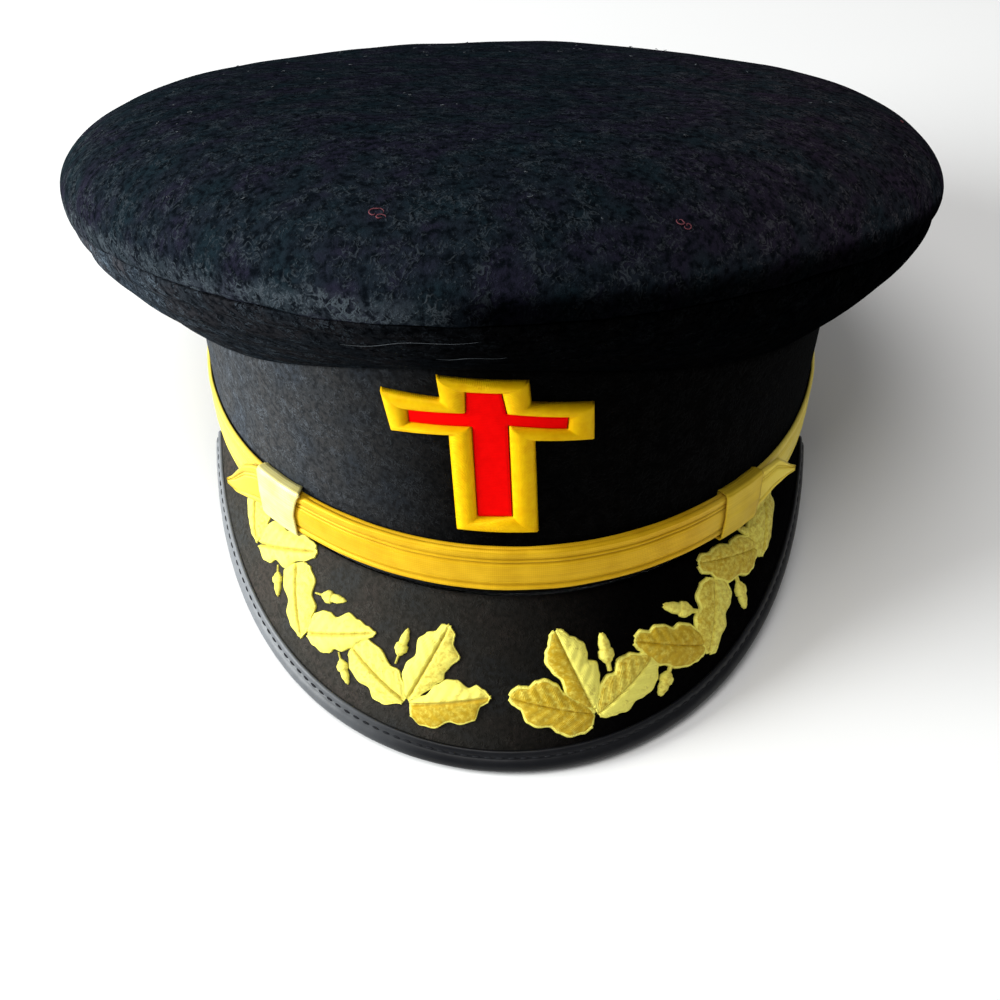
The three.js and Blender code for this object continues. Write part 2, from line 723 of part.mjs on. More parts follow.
// Side button: a plain gilt dome that lies on the end of its strap layer
function button(name, side) {
  const profile = [
    [0, 0],
    [5.4, 0],
    [BUTTON_RADIUS, 0.7],
    [6.2, 1.5],
    [4.9, 2.6],
    [2.7, 3.3],
    [0, 3.5],
  ];
  const angle = BUTTON_ANGLE * side;
  const out = bandNormal(angle);
  const lift = SIDE_LAYER + STRAP_THICK + 2 * GAP;
  const foot = bandPoint(angle, strapBase(angle) + STRAP_HEIGHT / 2, 0).addScaledVector(out, lift);
  const up = vec(0, 0, 1);
  const across = up.clone().cross(out);
  const sectors = 20;
  const points = [foot.clone()];
  for (const [radius, height] of profile.slice(1, -1)) {
    for (let s = 0; s < sectors; s += 1) {
      const a = (s * 2 * Math.PI) / sectors;
      const point = foot.clone().addScaledVector(out, height);
      point.addScaledVector(across, radius * Math.cos(a));
      point.addScaledVector(up, radius * Math.sin(a));
      points.push(point);
    }
  }
  points.push(foot.clone().addScaledVector(out, profile[profile.length - 1][1]));
  const faces = [];
  const rings = profile.length - 2;
  for (let s = 0; s < sectors; s += 1) {
    const t = (s + 1) % sectors;
    faces.push([0, 1 + t, 1 + s]);
    for (let r = 0; r < rings - 1; r += 1) {
      const a = 1 + r * sectors;
      const b = a + sectors;
      faces.push([a + s, a + t, b + t], [a + s, b + t, b + s]);
    }
    const top = 1 + (rings - 1) * sectors;
    faces.push([top + s, top + t, points.length - 1]);
  }
  return solid(name, points, facedOut(points, faces), GILT);
}

// Point over the front of the band at x, with its height and its lift off the cloth
function badgePoint(x, z, lift) {
  const angle = Math.asin(x / (BAND_HALF_WIDTH + BAND_FLARE_X * z)) / DEG;
  return bandPoint(angle, z, 0).addScaledVector(bandNormal(angle), lift);
}

// Outline of a clockwise shape drawn in by a margin, corner by corner
function drawnIn(outline, margin) {
  return outline.map(([x, z], i) => {
    const [prevX, prevZ] = outline[(i + outline.length - 1) % outline.length];
    const [nextX, nextZ] = outline[(i + 1) % outline.length];
    const before = new THREE.Vector2(x - prevX, z - prevZ).normalize();
    const after = new THREE.Vector2(nextX - x, nextZ - z).normalize();
    const inBefore = new THREE.Vector2(before.y, -before.x);
    const inAfter = new THREE.Vector2(after.y, -after.x);
    const bisector = inBefore.clone().add(inAfter).normalize();
    const reach = margin / Math.max(bisector.dot(inBefore), 0.3);
    return [x + bisector.x * reach, z + bisector.y * reach];
  });
}

// Gold border of the badge: a padded rib between the two outlines
function badgeBorder() {
  const corners = BORDER_OUTLINE.length;
  const rows = [];
  for (let i = 0; i < corners; i += 1) {
    const next = (i + 1) % corners;
    const spanOuter = Math.abs(BORDER_OUTLINE[next][0] - BORDER_OUTLINE[i][0]);
    const count = Math.max(1, Math.ceil(spanOuter / 7));
    for (let s = 0; s < count; s += 1) {
      const between = (line) => [
        line[i][0] + ((line[next][0] - line[i][0]) * s) / count,
        line[i][1] + ((line[next][1] - line[i][1]) * s) / count,
      ];
      rows.push([between(BORDER_OUTLINE), between(CROSS_OUTLINE)]);
    }
  }
  const ribs = [
    [0.0, BADGE_LIFT],
    [0.0, 1.2],
    [0.45, 2.0],
    [1.0, 1.3],
    [1.0, BADGE_LIFT],
  ];
  const points = rows.flatMap(([outer, inner]) =>
    ribs.map(([share, lift]) => {
      const x = outer[0] + (inner[0] - outer[0]) * share;
      const z = outer[1] + (inner[1] - outer[1]) * share;
      return badgePoint(x, z, lift);
    }),
  );
  const faces = [];
  for (let r = 0; r < rows.length; r += 1) {
    const next = (r + 1) % rows.length;
    for (let c = 0; c < ribs.length; c += 1) {
      const d = (c + 1) % ribs.length;
      faces.push([r * 5 + c, next * 5 + c, next * 5 + d]);
      faces.push([r * 5 + c, next * 5 + d, r * 5 + d]);
    }
  }
  return solid("badge_border", points, facedOut(points, faces), GOLD_THREAD);
}

// Cuts a four-cornered patch, given clockwise from its top left corner, into upright slices
function sliced([topLeft, topRight, lowRight, lowLeft], count) {
  const between = (from, to, s) => [
    from[0] + ((to[0] - from[0]) * s) / count,
    from[1] + ((to[1] - from[1]) * s) / count,
  ];
  return steps(0, count - 1, count - 1).map((s) => [
    between(topLeft, topRight, s),
    between(topLeft, topRight, s + 1),
    between(lowLeft, lowRight, s + 1),
    between(lowLeft, lowRight, s),
  ]);
}

// Red field of the badge: a flat cross just inside the border, as patches that follow the band
function badgeCross() {
  const corner = drawnIn(CROSS_OUTLINE, GAP);
  const patches = [
    [corner[0], corner[1], corner[2], corner[11]],
    [corner[11], corner[2], corner[5], corner[8]],
    [corner[8], corner[5], corner[6], corner[7]],
    ...sliced([corner[10], corner[11], corner[8], corner[9]], 3),
    ...sliced([corner[2], corner[3], corner[4], corner[5]], 3),
  ];
  const places = new Map();
  const numbered = patches.map((patch) =>
    patch.map(([x, z]) => {
      const key = `${x.toFixed(3)} ${z.toFixed(3)}`;
      if (!places.has(key)) {
        places.set(key, { number: places.size, x, z });
      }
      return places.get(key).number;
    }),
  );
  const flat = [...places.values()];
  const size = flat.length;
  const points = [CROSS_TOP, BADGE_LIFT].flatMap((lift) => flat.map(({ x, z }) => badgePoint(x, z, lift)));
  const edges = new Set();
  const faces = [];
  for (const [i, j, k, l] of numbered) {
    faces.push([i, j, k], [i, k, l], [size + i, size + k, size + j], [size + i, size + l, size + k]);
    for (const [from, to] of [[i, j], [j, k], [k, l], [l, i]]) {
      edges.add(`${from} ${to}`);
    }
  }
  for (const edge of edges) {
    const [from, to] = edge.split(" ").map(Number);
    if (!edges.has(`${to} ${from}`)) {
      faces.push([to, from, size + from], [to, size + from, size + to]);
    }
  }
  return solid("badge_cross", points, facedOut(points, faces), RED_THREAD);
}

// Value of a table of [place, value] rows, read straight between its rows
function reading(table, place) {
  const next = table.findIndex(([row]) => row >= place);
  if (next <= 0) {
    return table[0][1];
  }
  const [low, first] = table[next - 1];
  const [high, second] = table[next];
  return first + ((second - first) * (place - low)) / (high - low);
}

// Raised embroidery on the visor: a strip from stem to tip, thick beside its sunken rib. Each row
// gives a share of the way, the half width below and above, and how thick the strip is there.
function embroidery(name, piece, side, rows, height, rib) {
  const [stemAngle, stemReach] = piece.stem;
  const [tipAngle, tipReach] = piece.tip;
  const middle = (stemAngle + tipAngle) / 2;
  const halfway = (stemReach + tipReach) / 2;
  const before = visorPoint(middle - 0.5, halfway, 0);
  const perDegree = visorPoint(middle + 0.5, halfway, 0).distanceTo(before);
  const run = (tipAngle - stemAngle) * perDegree;
  const fall = tipReach - stemReach;
  const length = Math.hypot(run, fall);
  const columns = [
    [-1, 0],
    [-1, 0.55],
    [-0.5, 1],
    [0, rib],
    [0.5, 1],
    [1, 0.55],
    [1, 0],
    [0, 0],
  ];
  const sections = rows.map(([share, below, above, full]) =>
    columns.map(([across, lift]) => {
      const sideways = across * (across < 0 ? below : above);
      const angle = stemAngle + (tipAngle - stemAngle) * share - (sideways * fall) / length / perDegree;
      const reach = stemReach + fall * share + (sideways * run) / length;
      const thick = height * (0.45 + 0.55 * Math.min(full * 1.6, 1));
      return visorPoint(angle * side, Math.max(reach, -0.4), GAP + lift * thick);
    }),
  );
  return rod(name, sections, GOLD_THREAD);
}

// Rows of a leaf, whose two halves have outlines of their own
function leafRows(leaf) {
  const [from, to] = leaf.keep ?? LEAF_KEEP;
  return LEAF_PLACES.map((place) => {
    const share = from + (to - from) * place;
    const below = LEAF_TRIM * reading(leaf.lower, share);
    const above = LEAF_TRIM * reading(leaf.upper, share);
    return [share, below, above, (below + above) / 2 / LEAF_HALF];
  });
}

// Rows of an acorn, which is even on both sides
function acornRows() {
  const half = ACORN_WIDTH / 2;
  return ACORN_SHAPE.map(([share, wide]) => [share, half * wide, half * wide, wide]);
}

// The branches on both halves of the visor
function branches() {
  const pieces = [];
  const sideOf = (key) => (key.startsWith("left") ? -1 : 1);
  for (const [key, leaf] of Object.entries(LEAVES)) {
    pieces.push(embroidery(`leaf_${key}`, leaf, sideOf(key), leafRows(leaf), 1.4, 0.72));
  }
  for (const [key, acorn] of Object.entries(ACORNS)) {
    pieces.push(embroidery(`acorn_${key}`, acorn, sideOf(key), acornRows(), 1.8, 1.15));
  }
  return pieces;
}

// Tilt at which the visor and the rear rim are equally low
function restTilt(pieces) {
  const points = [];
  for (const piece of pieces) {
    const position = piece.geometry.getAttribute("position");
    for (let i = 0; i < position.count; i += 1) {
      points.push([position.getY(i), position.getZ(i)]);
    }
  }
  const lowest = (tilt, front) => {
    const heights = points
      .filter(([y]) => (front ? y < 0 : y >= 0))
      .map(([y, z]) => -y * Math.sin(tilt) + z * Math.cos(tilt));
    return heights.reduce((low, h) => Math.min(low, h), Infinity);
  };
  let low = 0;
  let high = 30 * DEG;
  for (let i = 0; i < 40; i += 1) {
    const tilt = (low + high) / 2;
    if (lowest(tilt, true) < lowest(tilt, false)) {
      low = tilt;
    } else {
      high = tilt;
    }
  }
  return (low + high) / 2;
}

// Tilts every piece back and moves the whole cap on to the floor, over the origin
function settle(pieces) {
  const tilt = restTilt(pieces);
  const turn = new THREE.Matrix4().makeRotationX(-tilt);
  const box = new THREE.Box3();
  for (const piece of pieces) {
    piece.geometry.applyMatrix4(turn);
    piece.geometry.computeBoundingBox();
    box.union(piece.geometry.boundingBox);
  }
  const middle = box.getCenter(vec(0, 0, 0));
  for (const piece of pieces) {
    piece.geometry.translate(-middle.x, -middle.y, -box.min.z);
  }
}

function fatigueCap() {
  const pieces = [
    crownTop(),
    crownSide(),
    band(),
    visor(),
    visorBinding(),
    strapLong(),
    strapFront(),
    slide("slide_left", -1),
    slide("slide_right", 1),
    button("button_left", -1),
    button("button_right", 1),
    badgeBorder(),
    badgeCross(),
    ...branches(),
  ];
  settle(pieces);
  const cap = new THREE.Group();
  cap.name = "fatigue_cap";
  cap.add(...pieces);
  return cap;
}

export default fatigueCap();
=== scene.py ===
# %% [markdown]
# # A peaked fatigue cap in Blender
#
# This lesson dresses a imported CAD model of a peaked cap: black wool cloth, a leather-bound visor,
# a gold lace strap, an embroidered cross and two branches of oak leaves. The CAD model says where
# every part is, so each piece here is laid on the same curves and is then given the cloth's
# thickness, folds, threads and shine. Lengths in the shape functions are millimetres on the cap,
# drawn square to its head band. One function, settled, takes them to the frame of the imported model.

# %% The frame
import math
import random

import bmesh
import bpy
from mathutils import Matrix, Vector, noise


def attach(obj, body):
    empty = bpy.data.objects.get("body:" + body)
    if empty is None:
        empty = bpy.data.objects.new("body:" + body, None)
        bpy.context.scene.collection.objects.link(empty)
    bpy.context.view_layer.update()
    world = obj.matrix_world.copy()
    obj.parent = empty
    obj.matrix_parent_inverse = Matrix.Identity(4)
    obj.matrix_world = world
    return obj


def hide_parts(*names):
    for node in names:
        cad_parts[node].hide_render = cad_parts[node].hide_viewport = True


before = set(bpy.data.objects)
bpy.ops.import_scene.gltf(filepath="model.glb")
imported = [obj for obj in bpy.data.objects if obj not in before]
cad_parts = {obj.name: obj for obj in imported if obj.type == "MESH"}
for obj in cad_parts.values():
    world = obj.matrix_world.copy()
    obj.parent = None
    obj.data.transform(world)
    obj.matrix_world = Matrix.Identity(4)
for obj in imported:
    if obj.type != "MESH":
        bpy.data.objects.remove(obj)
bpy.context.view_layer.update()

# %% [markdown]
# ## Where the cap stands
#
# A peaked cap doesn't stand level. It rests on the front of its visor and on the back of its band,
# so it leans back. One turn about the X axis and one move take a point from the cap's own frame,
# where the band's rim is the plane z = 0, to the floor.

# %% Leaning back on the floor
MM = 0.001
LEAN_BACK = math.radians(10.2266)
LEANING = Matrix.Rotation(-LEAN_BACK, 3, "X")
CAP_PLACE = Vector((3.275, 0.242, 17.115))


def settled(point):
    """A point of the cap in millimetres, moved to its place on the floor, in metres."""
    return (LEANING @ Vector(point) + CAP_PLACE) * MM


print("middle of the band's rim at", [round(c, 4) for c in settled((0, 0, 0))])

# %% [markdown]
# ## The camera
#
# The photograph was taken from close in front and above. Its perspective is strong: the crown looks
# much wider than the band. The camera stands 486 mm from the middle of the band's rim, 33 degrees
# above the rim's plane, which is 43 degrees above the floor because the cap leans back. It doesn't
# point straight at the rim, so two small turns aim it, and a third levels the cap as in the photo.

# %% Camera
CAMERA_DISTANCE = 485.83
CAMERA_ABOVE_RIM = math.radians(33.03)
CAMERA_ASIDE = math.radians(-0.05)
CAMERA_ROLL = math.radians(0.537)
AIM_DOWN = math.radians(3.919)
AIM_RIGHT = math.radians(0.370)
LENS = 57.21

outwards = Vector((
    math.sin(CAMERA_ASIDE) * math.cos(CAMERA_ABOVE_RIM),
    -math.cos(CAMERA_ASIDE) * math.cos(CAMERA_ABOVE_RIM),
    math.sin(CAMERA_ABOVE_RIM),
))
level = (-outwards).cross(Vector((0, 0, 1))).normalized()
upright = level.cross(-outwards)
rolled_right = level * math.cos(CAMERA_ROLL) + upright * math.sin(CAMERA_ROLL)
rolled_up = upright * math.cos(CAMERA_ROLL) - level * math.sin(CAMERA_ROLL)
lowered = -outwards * math.cos(AIM_DOWN) - rolled_up * math.sin(AIM_DOWN)
camera_up = rolled_up * math.cos(AIM_DOWN) - outwards * math.sin(AIM_DOWN)
camera_right = rolled_right * math.cos(AIM_RIGHT) + lowered * math.sin(AIM_RIGHT)
camera_ahead = lowered * math.cos(AIM_RIGHT) - rolled_right * math.sin(AIM_RIGHT)

camera_data = bpy.data.cameras.new("camera")
camera_data.lens = LENS
camera_data.sensor_width = 36.0
camera_data.clip_start = 0.01
camera_data.clip_end = 20.0
camera = bpy.data.objects.new("camera", camera_data)
bpy.context.scene.collection.objects.link(camera)
axes = Matrix((camera_right, camera_up, -camera_ahead)).transposed()
camera_place = Matrix.Translation(settled(outwards * CAMERA_DISTANCE))
camera.matrix_world = camera_place @ (LEANING @ axes).to_4x4()
bpy.context.scene.camera = camera
print("camera at", [round(c, 3) for c in camera.location])

# %% [markdown]
# ## The curves of the cap
#
# Everything on the cap lies on one of four surfaces: the upright band, the visor that leaves its
# foot, the crown's domed top and the narrow curl where the top turns under its rim. Each surface is a
# small function from an angle round the cap, in degrees from the front, and one more measure. The
# sizes are those of the CAD model, so a piece that uses these functions needs no fitting.

# %% Band and seam
BAND_HALF_WIDTH = 86.4
BAND_HALF_LENGTH = 96.4
BAND_FLARE_X = 0.0725
BAND_FLARE_Y = 0.0175
BAND_SQUARE = 0.0085
BAND_WALL = 2.4
SEAM_LOW = 34.0
SEAM_RISE = 35.0
SEAM_POWER = 4
SEAM_RIGHT = 7.6


def band_point(angle, z, off=0.0):
    """Point on the outer face of the band at that height, moved outwards by off."""
    a = math.radians(angle)
    square = 1 - BAND_SQUARE * (1 - math.cos(4 * a))
    half_width = (BAND_HALF_WIDTH + BAND_FLARE_X * z) * square + off
    half_length = (BAND_HALF_LENGTH + BAND_FLARE_Y * z) * square + off
    return Vector((half_width * math.sin(a), -half_length * math.cos(a), z))


def band_normal(angle):
    """Level direction that points straight out of the band."""
    before = band_point(angle - 0.5, 0)
    after = band_point(angle + 0.5, 0)
    return Vector((after.y - before.y, before.x - after.x, 0)).normalized()


def seam_height(angle):
    """Height of the seam between band and crown: low at the back, high in front, more at the right."""
    share = (1 + math.cos(math.radians(angle))) / 2
    raised = SEAM_RIGHT * max(math.sin(math.radians(angle)), 0) ** 3
    return SEAM_LOW + SEAM_RISE * share ** SEAM_POWER + raised


print("seam from", round(seam_height(180), 1), "to", round(seam_height(0), 1), "mm")

# %% Crown
CROWN_HALF_WIDTH = 116.4
CROWN_HALF_LENGTH = 132.5
CROWN_SQUARE = 0.027
CROWN_RISE = 24.6
CROWN_POWER = 4.5
CROWN_CURL = 12.0
CROWN_RIDGE = 21.0
RIDGE_RADIUS = 3.0
CROWN_WALL = 1.6
CROWN_CENTRE = Vector((-2.4, -9.1, 78.0))
CROWN_TILT = math.radians(14.1)
CROWN_TURN = math.radians(-5.5)
CROWN_LEAN = math.radians(-1.9)
PANEL_END = 58.0
SIDE_START = 64.0
SIDE_BULGE = 5.0
CROWN_MEAN_RADIUS = 125
SHOULDER = {"angle": -118.0, "spread": 20.0, "swell": 1.9}


def raise_crown(x, y, h):
    """Takes a point from the level crown to its raised, turned and leaning place."""
    y_tilted = y * math.cos(CROWN_TILT) + h * math.sin(CROWN_TILT) + CROWN_CENTRE.y
    z_tilted = -y * math.sin(CROWN_TILT) + h * math.cos(CROWN_TILT)
    x_turned = x * math.cos(CROWN_TURN) - y_tilted * math.sin(CROWN_TURN)
    y_turned = x * math.sin(CROWN_TURN) + y_tilted * math.cos(CROWN_TURN)
    return Vector((
        x_turned * math.cos(CROWN_LEAN) + z_tilted * math.sin(CROWN_LEAN) + CROWN_CENTRE.x,
        y_turned,
        -x_turned * math.sin(CROWN_LEAN) + z_tilted * math.cos(CROWN_LEAN) + CROWN_CENTRE.z,
    ))


def bell(distance, spread):
    """A soft bump: 1 at no distance and nearly 0 at twice the spread."""
    return math.exp(-((distance / spread) ** 2))


def rim_line(angle):
    """Widest line of the level crown."""
    a = math.radians(angle)
    shoulder = SHOULDER["swell"] / CROWN_MEAN_RADIUS
    shoulder *= bell(angle - SHOULDER["angle"], SHOULDER["spread"])
    square = 1 - CROWN_SQUARE * (1 - math.cos(4 * a)) + shoulder
    return Vector((CROWN_HALF_WIDTH * square * math.sin(a), -CROWN_HALF_LENGTH * square * math.cos(a)))


print("crown", round(rim_line(90).x - rim_line(-90).x, 1), "mm wide")

# %% Dome and curl
def dome_point(angle, bend, off=0.0):
    """Point on the domed top, bend 0 at its middle and 90 at the rim, moved outwards by off."""
    rim = rim_line(angle)
    b = math.radians(bend)
    share = math.sin(b) ** (2 / CROWN_POWER)
    level = CROWN_POWER * share ** (CROWN_POWER - 1) / rim.length
    up = 2 * math.cos(b) / CROWN_RISE
    length = math.hypot(level, up)
    out = share + off * level / length / rim.length
    return raise_crown(rim.x * out, rim.y * out, CROWN_RISE * math.cos(b) + off * up / length)


def under_point(angle, under, off=0.0):
    """Point below the rim where the cloth has turned under by that angle, moved outwards by off."""
    rim = rim_line(angle)
    run = rim_line(angle + 0.5) - rim_line(angle - 0.5)
    out = Vector((run.y, -run.x)).normalized()
    curl = math.radians(min(under, CROWN_RIDGE))
    turned = math.radians(under)
    tight = RIDGE_RADIUS * (math.cos(curl) - math.cos(turned))
    inset = CROWN_CURL * (1 - math.cos(curl)) + tight - off * math.cos(turned)
    drop = CROWN_CURL * math.sin(curl) + RIDGE_RADIUS * (math.sin(turned) - math.sin(curl))
    return raise_crown(rim.x - out.x * inset, rim.y - out.y * inset, -drop - off * math.sin(turned))


print("crown top at", round((LEANING @ dome_point(0, 0) + CAP_PLACE).z, 1), "mm above the floor")

# %% Visor
VISOR_END = 78.0
VISOR_DEPTH = 43.9
VISOR_END_DEPTH = 6.0
VISOR_DEPTH_POWER = 1.12
VISOR_SLOPE = 56.0
VISOR_END_SLOPE = 76.0
VISOR_WALL = 2.2
VISOR_BULGE = 1.5
GAP = 0.3


def visor_depth(angle):
    """Depth of the visor down its slope."""
    share = min(abs(angle) / VISOR_END, 1)
    swell = max(math.cos(share * math.pi / 2), 0) ** VISOR_DEPTH_POWER
    return VISOR_END_DEPTH + (VISOR_DEPTH - VISOR_END_DEPTH) * swell


def visor_point(angle, reach, lift=0.0):
    """Point on the upper face of the visor, reach down its slope, raised off it by lift."""
    end = abs(angle) / VISOR_END
    slope = math.radians(VISOR_SLOPE + (VISOR_END_SLOPE - VISOR_SLOPE) * end * end)
    depth = visor_depth(angle)
    share = min(max(reach / depth, 0), 1)
    bulge = VISOR_BULGE * (depth / VISOR_DEPTH) * math.sin(math.pi * share)
    out = band_normal(angle)
    base = band_point(angle, 0, GAP)
    along = reach * math.cos(slope) + (lift + bulge) * math.sin(slope)
    down = -reach * math.sin(slope) + (lift + bulge) * math.cos(slope)
    return Vector((base.x + out.x * along, base.y + out.y * along, down - GAP))


print("visor depth at the front", visor_depth(0), "mm, at its ends", visor_depth(VISOR_END), "mm")

# %% [markdown]
# ## From a flat pattern to a piece
#
# A maker cuts cloth flat and bends it over a form. The helpers do the same: a grid is the flat
# pattern, its UV map keeps every point's place on that pattern in metres, and a function says where
# the cloth lies on the cap. A pattern that closes on itself has its doubled edge merged. Solidify
# then gives the cloth its thickness, inwards, so the outside stays where it was laid. The cloth of a
# stiff cap is stretched over its form, so each sheet also says how big a piece it was cut from.

# %% Pattern helpers
SAME_PLACE = 0.00001
CAP_MIDDLE = settled((0, 0, 60))
BELOW_VISOR = settled((0, -60, -60))


def flat_pattern(columns, rows, width, height):
    """A flat grid from (0, 0) to (1, 1) whose UV map holds its real width and height."""
    bm = bmesh.new()
    bmesh.ops.create_grid(bm, x_segments=columns, y_segments=rows, size=0.5)
    bmesh.ops.translate(bm, vec=(0.5, 0.5, 0.0), verts=bm.verts)
    uv = bm.loops.layers.uv.new("pattern")
    for face in bm.faces:
        for loop in face.loops:
            loop[uv].uv = (loop.vert.co.x * width * MM, loop.vert.co.y * height * MM)
    return bm


def lay(bm, place):
    """Bends a flat pattern: place turns its two shares into a point of the cap."""
    for vert in bm.verts:
        vert.co = settled(place(vert.co.x, vert.co.y))
    bmesh.ops.remove_doubles(bm, verts=bm.verts, dist=SAME_PLACE)
    return bm


def face_away(bm, middle):
    """Turns the faces of an open sheet so that most of them look away from a point."""
    away = sum((f.calc_center_median() - middle).dot(f.normal) * f.calc_area() for f in bm.faces)
    if away < 0:
        bmesh.ops.reverse_faces(bm, faces=bm.faces)


print("the cap's middle is at", [round(c, 3) for c in CAP_MIDDLE])

# %% Piece helpers
def finished(name, bm, finish, slot, nodes=(), wall=None):
    """Makes the piece an object at the origin, with its wall, finish and CAD nodes. Its slot is not used.
    """
    bm.normal_update()
    mesh = bpy.data.meshes.new(name)
    bm.to_mesh(mesh)
    bm.free()
    piece = bpy.data.objects.new(name, mesh)
    bpy.context.scene.collection.objects.link(piece)
    mesh.shade_smooth()
    if wall:
        thickness = piece.modifiers.new("wall", "SOLIDIFY")
        thickness.thickness = wall * MM
        thickness.offset = -1
    mesh.materials.append(finish)
    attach(piece, "root")
    if nodes:
        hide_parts(*nodes)
    print(name, len(mesh.polygons), "faces")
    return piece


def cloth(name, bm, place, finish, slot, node, wall, middle=CAP_MIDDLE):
    """Bends a pattern to its place, its face away from middle, as the piece that stands for a node."""
    lay(bm, place)
    face_away(bm, middle)
    return finished(name, bm, finish, slot, [node], wall)


print("piece helpers ready")

# %% [markdown]
# ## Shader sums
#
# A cloth finish mixes several patterns: fibres, tufts, threads, patches of wear. Written as nodes
# one by one that is long, so a small class wraps a socket and lets patterns be added and multiplied
# like numbers. Each sign adds one Math node. Colours go through a Mix node instead, because a Math
# node would turn them grey.

# %% Pattern
class Pattern:
    """A number that varies over a surface, as one node's output."""

    def __init__(self, finish, socket):
        self.finish = finish
        self.socket = socket

    def sum_with(self, operation, first, second):
        return self.finish.add("ShaderNodeMath", {"operation": operation}, {0: first, 1: second})

    def __add__(self, other):
        return self.sum_with("ADD", self, other)

    def __radd__(self, other):
        return self.sum_with("ADD", other, self)

    def __sub__(self, other):
        return self.sum_with("SUBTRACT", self, other)

    def __rsub__(self, other):
        return self.sum_with("SUBTRACT", other, self)

    def __mul__(self, other):
        return self.sum_with("MULTIPLY", self, other)

    def __rmul__(self, other):
        return self.sum_with("MULTIPLY", other, self)

    def wave(self, length):
        """Even ridges, 0 to 1, one every length."""
        turns = self * (2 * math.pi / length)
        return self.finish.add("ShaderNodeMath", {"operation": "SINE"}, {0: turns}) * 0.5 + 0.5

    def size(self):
        return self.finish.add("ShaderNodeMath", {"operation": "ABSOLUTE"}, {0: self})

    def between(self, low, high):
        """0 below low, 1 above high and a smooth step between them."""
        return self.finish.add(
            "ShaderNodeMapRange",
            {"interpolation_type": "SMOOTHSTEP"},
            {"Value": self, "From Min": low, "From Max": high},
        )


print("patterns can be added and multiplied")

# %% Finish
class Finish:
    """One node material. add() adds any node: its settings first, then its sockets."""

    def __init__(self, name):
        self.material = bpy.data.materials.new(name)
        self.material.use_nodes = True
        self.tree = self.material.node_tree
        self.shader = self.tree.nodes["Principled BSDF"]

    def add(self, kind, settings, sockets, output=0):
        node = self.tree.nodes.new(kind)
        for key, value in settings.items():
            setattr(node, key, value)
        for key, value in sockets.items():
            self.feed(node.inputs[key], value)
        return Pattern(self, node.outputs[output])

    def feed(self, socket, value):
        if isinstance(value, Pattern):
            self.tree.links.new(value.socket, socket)
        else:
            socket.default_value = value

    def place(self):
        """Object coordinates, in metres."""
        return self.add("ShaderNodeTexCoord", {}, {}, "Object")

    def pattern_places(self):
        """The two UV coordinates of a piece's flat pattern, in metres."""
        both = self.add("ShaderNodeUVMap", {"uv_map": "pattern"}, {})
        return (
            self.add("ShaderNodeSeparateXYZ", {}, {0: both}, "X"),
            self.add("ShaderNodeSeparateXYZ", {}, {0: both}, "Y"),
        )

    def sideways(self):
        """Distance to the right of the row's origin, in metres."""
        return self.add("ShaderNodeSeparateXYZ", {}, {0: self.place()}, "X")

    def painted(self, name):
        """A number kept at each point of the mesh, 0 where the mesh has none of that name."""
        return self.add("ShaderNodeAttribute", {"attribute_name": name}, {}, "Fac")

    def scaled(self, colour, strength):
        """A colour made stronger or weaker."""
        sockets = {0: colour, "Scale": strength}
        return self.add("ShaderNodeVectorMath", {"operation": "SCALE"}, sockets)

    def tinted(self, colour, tint):
        """A colour with its red, green and blue each made stronger or weaker."""
        return self.add("ShaderNodeVectorMath", {"operation": "MULTIPLY"}, {0: colour, 1: tint})

    def grain(self, size, detail=2.0, roughness=0.5, twist=0.0):
        """Cloudy noise with grains of about that size in millimetres, centred on 0.5."""
        return self.add(
            "ShaderNodeTexNoise",
            {},
            {
                "Vector": self.place(),
                "Scale": 1.0 / (size * MM),
                "Detail": detail,
                "Roughness": roughness,
                "Distortion": twist,
            },
        )

    def blend(self, share, first, second):
        """A colour between two colours."""
        sockets = {"Factor": share, 6: first, 7: second}
        return self.add("ShaderNodeMix", {"data_type": "RGBA"}, sockets, 2)

    def set(self, **sockets):
        for key, value in sockets.items():
            self.feed(self.shader.inputs[key.replace("_", " ")], value)

    def bump(self, height, depth, strength=1.0):
        """Raises the surface by the pattern, depth in millimetres."""
        sockets = {"Strength": strength, "Distance": depth * MM, "Height": height}
        self.feed(self.shader.inputs["Normal"], self.add("ShaderNodeBump", {}, sockets))


print("finishes can be mixed")
